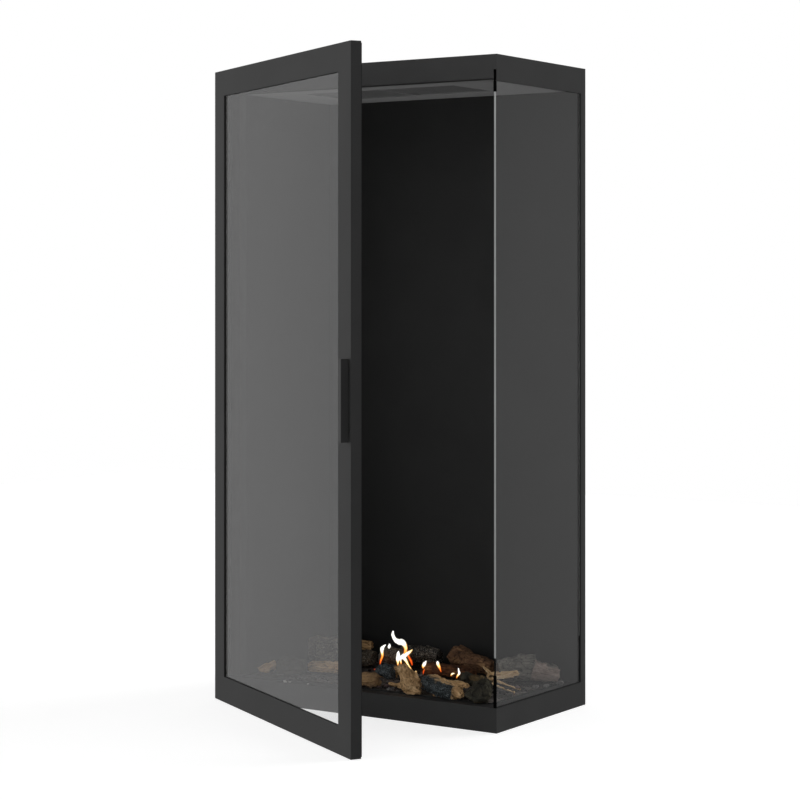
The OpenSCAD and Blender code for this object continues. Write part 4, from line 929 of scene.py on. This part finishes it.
builder = bmesh.new()
across = int((high.x - low.x) / (CELL_MM * MM))
deep = int((high.y - low.y) / (CELL_MM * MM))
grid = {}
for i in range(across + 1):
    for j in range(deep + 1):
        x = low.x + (high.x - low.x) * i / across
        y = low.y + (high.y - low.y) * j / deep
        rim = i in (0, across) or j in (0, deep)
        grid[i, j] = builder.verts.new((x, y, low.z if rim else min(top, bed_height(x, y))))
for i in range(across):
    for j in range(deep):
        x = (grid[i, j].co.x + grid[i + 1, j].co.x) / 2
        y = (grid[i, j].co.y + grid[i, j + 1].co.y) / 2
        if not at_electrodes(x, y, GROUND_GAP):
            builder.faces.new((grid[i, j], grid[i + 1, j], grid[i + 1, j + 1], grid[i, j + 1]))
for vertex in [v for v in builder.verts if not v.link_faces]:
    builder.verts.remove(vertex)
ground = made_piece("ash_ground", builder, [ash_finish])
ground.data.shade_smooth()
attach(ground, "casing")
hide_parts("ember_bed")
print("ground of", len(ground.data.polygons), "faces")

# %% Scatter the chips
CHIP_LEAN = 0.35
CHIP_FLAT = (0.35, 0.7)
CHIP_BROKEN = 0.45
CHIP_RISE = 0.55
FINE_CHIP = 5 * MM
CHIP_MARGIN = 5 * MM
# So that chunks, the painted glints and scattered chips never break alike.
CHUNK_STAMP = 1000
GLINT_STAMP = 2000

builder = bmesh.new()


def lay_chip(x, y, ground_z, size, kind, stamp):
    """A squashed and broken ball, turned at random, with its foot in the ground."""
    aside = Vector((dice.random(), dice.random(), dice.random())).normalized()
    lean = (aside * CHIP_LEAN + Vector(UP)).normalized()
    spin = dice.uniform(0, math.tau)
    flat = dice.uniform(*CHIP_FLAT)
    rounds = 1 if size < FINE_CHIP else 2
    made = bmesh.ops.create_icosphere(builder, subdivisions=rounds, radius=size)["verts"]
    for vertex in made:
        place = vertex.co * (1 + CHIP_BROKEN * noise.noise(vertex.co / size * 1.3 + Vector((stamp, 0, 0))))
        place.z *= flat
        place.rotate(Vector(UP).rotation_difference(lean))
        place = Vector((place.x * math.cos(spin) - place.y * math.sin(spin),
                        place.x * math.sin(spin) + place.y * math.cos(spin), place.z))
        vertex.co = place + Vector((x, y, ground_z + size * flat * CHIP_RISE))
    for face in {f for v in made for f in v.link_faces}:
        face.material_index = kind


for stamp, (x, y, size, kind) in enumerate(CHUNKS):
    lay_chip(x * MM, y * MM, bed_height(x * MM, y * MM), size * MM, kind, stamp + CHUNK_STAMP)
# The pale chips on the sill are painted glints.
for stamp, (x, y, size) in enumerate(GLINT_CHIPS):
    lay_chip(x * MM, y * MM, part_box("front_sill")[1].z, size * MM, PALE, stamp + GLINT_STAMP)
for stamp in range(CHIP_COUNT):
    x = dice.uniform(low.x + CHIP_MARGIN, high.x - CHIP_MARGIN)
    y = dice.uniform(low.y + CHIP_MARGIN, high.y - CHIP_MARGIN)
    if under_log(x, y) or at_electrodes(x, y, CHIP_MARGIN):
        continue
    kind = dice.choices(range(len(CHIP_KINDS)), CHIP_KINDS)[0]
    if kind == GLOWING and not (HOT_BED[0] < x < HOT_BED[1] and HOT_BED[2] < y < HOT_BED[3]):
        kind = CHARCOAL
    lay_chip(x, y, bed_height(x, y), dice.uniform(*CHIP_MM) * MM, kind, stamp)
chips = made_piece("ember_chips", builder, chip_finishes)
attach(chips, "casing")
print("chips of", len(chips.data.polygons), "faces")

# %% [markdown]
# ## The flames
# Gas burns in tongues that rise from the slot between the logs. A tongue is narrow at its foot, swells
# and bends, and ends in a point. It could be smoke in a volume, but a volume isn't a mesh and is lost in
# an exported model. So each tongue is two closed skins swept along one curve: a hot core, near white,
# and a thin half-clear mantle round it, orange at the foot and pale yellow at the top.

# %% Flame finishes
LICK_MM = 7
LICK_DEPTH = 0.35


def burning_gas(name, stops, strength, body):
    """Light alone, its colour by the glow mark on the skin. Body is how much of what is behind it hides."""
    finish, tree = new_finish(name)
    mark = stored(tree, "glow_mark")
    place = on_piece(tree)
    waver = maths(tree, "SUBTRACT", noise_at(tree, place, LICK_MM), 0.5)
    tone = ramp(tree, maths(tree, "MULTIPLY_ADD", waver, LICK_DEPTH, mark), stops)
    coat_with(tree, {"Base Color": linear("#000000"), "Roughness": 1.0, "Specular IOR Level": 0.0,
                     "Emission Color": tone, "Emission Strength": strength, "Alpha": body})
    return finish


core_finish = burning_gas("burning_gas_core", [(0.0, "#D8521A"), (0.3, "#FFB440"), (0.55, "#FFF0A8"),
                                               (0.8, "#FFFFFF")], 2.0, 1.0)
mantle_finish = burning_gas("burning_gas_mantle", [(0.0, "#9A1E06"), (0.4, "#EA5E14"), (0.7, "#FFC85A"),
                                                   (0.95, "#FFFCF0")], 1.4, 0.45)
print("flame core and mantle")

# %% The tongues
# Each tongue in millimetres: points (x, forward of the burner, z, half width, heat), foot first.
TONGUES = {
    "flame_tall": [(-1, 0, 82, 1.4, 0.1), (2, 1, 90, 2.8, 0.2), (5, 1, 99, 3.8, 0.35),
                   (4, 0, 107, 4.8, 0.6), (-3, -1, 115, 6.2, 1.1), (-14, 0, 116, 5.8, 1.1),
                   (-22, 0, 121, 4.2, 1.1), (-26, 0, 129, 3.4, 1.1), (-25, 0, 136, 1.4, 1.1)],
    "flame_star": [(-14, 0, 66, 0.8, 0.1), (-14, 0, 73, 2.4, 0.5), (-14, 0, 80, 4.2, 0.9),
                   (-13, 0, 87, 4.7, 1.1), (-13, 0, 93, 3.2, 1.1), (-12, 0, 97, 0.7, 1.1)],
    "flame_foot": [(-5, 1, 69, 0.8, 0.2), (-6, 1, 76, 2.0, 0.5), (-8, 1, 84, 2.4, 1.0)],
    "flame_arm": [(-9, 1, 83, 2.8, 1.1), (-2, 1, 87, 4.8, 1.1), (7, 1, 93, 4.2, 0.95),
                  (15, 1, 98, 2.8, 0.75), (21, 1, 103, 0.9, 0.6)],
    "flame_trail": [(19, 0, 60, 0.8, 0.2), (16, 0, 65, 2.2, 0.5), (11, 0, 71, 2.4, 0.6),
                    (6, 0, 79, 3.2, 0.65), (1, 0, 85, 3.8, 1.0), (-2, 0, 90, 1.8, 1.1)],
    "flame_back": [(20, 0, 72, 1.2, 0.0), (18, 0, 79, 2.8, 0.0), (12, 0, 88, 2.6, 0.1),
                   (7, 0, 95, 0.7, 0.3)],
    "flame_left": [(-57, 0, 66, 0.8, 0.0), (-55, 0, 74, 2.4, 0.1), (-51, 0, 84, 2.6, 0.35),
                   (-52, 0, 92, 3.6, 0.8), (-52, 0, 98, 4.4, 1.1), (-48, 0, 103, 2.6, 1.1),
                   (-43, 0, 107, 0.7, 1.1)],
    "flame_blob": [(-35, 0, 100, 0.8, 1.0), (-35, 0, 103, 3.4, 1.1), (-34, 0, 106, 3.0, 1.1),
                   (-34, 0, 110, 0.7, 1.1)],
    "flame_tooth": [(46, 0, 68, 0.8, 0.1), (46, 0, 72, 3.0, 0.5), (48, 0, 76, 4.0, 0.9),
                    (51, 0, 80, 2.8, 0.9), (53, 0, 84, 0.8, 0.9)],
    "flame_spark": [(46, 0, 57, 0.7, 0.0), (47, 0, 62, 1.6, 0.0), (49, 0, 67, 0.8, 0.1)],
    "flame_lean": [(88, 0, 65, 0.8, 0.0), (86, 0, 70, 2.0, 0.2), (83, 0, 76, 3.4, 0.55),
                   (80, 0, 82, 3.6, 0.9), (80, 0, 86, 0.9, 0.9)],
    "flame_curl": [(121, 16, 63, 0.7, 0.2), (122, 16, 66, 1.6, 0.6), (125, 16, 68, 1.8, 0.8),
                   (129, 16, 69, 0.8, 0.7)],
    "flame_right": [(134, 16, 60, 0.8, 0.1), (136, 16, 65, 2.0, 0.5), (140, 16, 70, 2.4, 0.9),
                    (139, 16, 75, 2.0, 1.1), (138, 16, 80, 0.8, 1.1)],
    "flame_dot": [(29, 0, 52, 0.8, 0.1), (29, 0, 55, 2.0, 0.3), (29, 0, 59, 1.8, 0.5),
                  (29, 0, 62, 0.6, 0.6)],
}
print(len(TONGUES), "tongues of flame")

# %% Sweep the tongues
TONGUE_SIDES = 12
TONGUE_STEPS = 6
TONGUE_FLAT = 0.6
THINNEST_MM = 0.3
FLICKER = 0.16
FLICKER_PER_MM = 0.3
CORE_WIDTH = 0.62
MANTLE_WIDTH = 0.95
BURNER_Y_MM = 5


def sweep_tongue(name, stations, swell, finish):
    """A closed skin round a smooth curve through the stations, its width times swell."""
    rows = np.array(stations, float)
    rows[:, 1] = BURNER_Y_MM - rows[:, 1]
    fine = []
    last = len(rows) - 1
    for k in range(last * TONGUE_STEPS + 1):
        place = k / TONGUE_STEPS
        i = min(last - 1, int(place))
        t = place - i
        before, start, end, after = (rows[max(0, min(last, i + n))] for n in (-1, 0, 1, 2))
        fine.append(0.5 * (2 * start + (end - before) * t
                           + (2 * before - 5 * start + 4 * end - after) * t ** 2
                           + (3 * start - before - 3 * end + after) * t ** 3))
    fine = np.array(fine)
    builder = bmesh.new()
    rings = []
    for k, (x, y, z, wide, heat) in enumerate(fine):
        run = Vector(fine[min(len(fine) - 1, k + 1)][:3] - fine[max(0, k - 1)][:3]).normalized()
        across_it = run.cross(Vector((0, 1, 0))).normalized()
        deep_it = run.cross(across_it)
        ring = []
        for n in range(TONGUE_SIDES):
            angle = math.tau * n / TONGUE_SIDES
            flicker = 1 + FLICKER * noise.noise(Vector((x, z, 3 * math.cos(angle))) * FLICKER_PER_MM)
            aside = across_it * math.cos(angle) + deep_it * TONGUE_FLAT * math.sin(angle)
            spot = Vector((x, y, z)) + aside * max(THINNEST_MM, wide) * flicker * swell
            ring.append(builder.verts.new(spot * MM))
        rings.append(ring)
    for a, b in zip(rings, rings[1:]):
        for n in range(TONGUE_SIDES):
            m = (n + 1) % TONGUE_SIDES
            builder.faces.new((a[n], a[m], b[m], b[n]))
    builder.faces.new(rings[0][::-1])
    builder.faces.new(rings[-1])
    bmesh.ops.recalc_face_normals(builder, faces=builder.faces)
    tongue = made_piece(name, builder, [finish])
    tongue.data.shade_smooth()
    heats = np.repeat(fine[:, 4], TONGUE_SIDES).astype(np.float32)
    tongue.data.attributes.new("glow_mark", "FLOAT", "POINT").data.foreach_set("value", heats)
    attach(tongue, "casing")


for name, stations in TONGUES.items():
    sweep_tongue(name + "_core", stations, CORE_WIDTH, core_finish)
    sweep_tongue(name + "_mantle", stations, MANTLE_WIDTH, mantle_finish)
print(2 * len(TONGUES), "skins of", TONGUE_SIDES, "sides")

# %% [markdown]
# ## Dress the frame
# Each node of the construction names the finish that the works drawing gives it. The finish goes on the
# node's own slots, and the node isn't touched.

# %% Finishes on the nodes
FINISH_OF_SLOT = {
    "powder_coated_steel": powder_coat, "chamber_lining": lining_enamel, "ceiling_steel": ceiling_enamel,
    "grille_steel": grille_enamel, "bare_steel": zinc_plate, "brass": turned_brass,
    "ceramic_glass": smoky_glass, "seal": fibre_seal, "black_clip": clip_coat,
    "handle_black": handle_coat, "insulator": alumina, "embers": ash_finish,
    "charred_bark": LOG_FINISHES["olive_char"], "split_wood": LOG_FINISHES["pale_split"],
}
OWN_FINISH = {"side_glass": ground_glass}
for part in frame["record"]["subparts"]:
    node = nodes[part["node"]]
    finish = OWN_FINISH.get(part["node"], FINISH_OF_SLOT[part["material_slot"]])
    if not node.data.materials:
        node.data.materials.append(finish)
    for k in range(len(node.data.materials)):
        node.data.materials[k] = finish
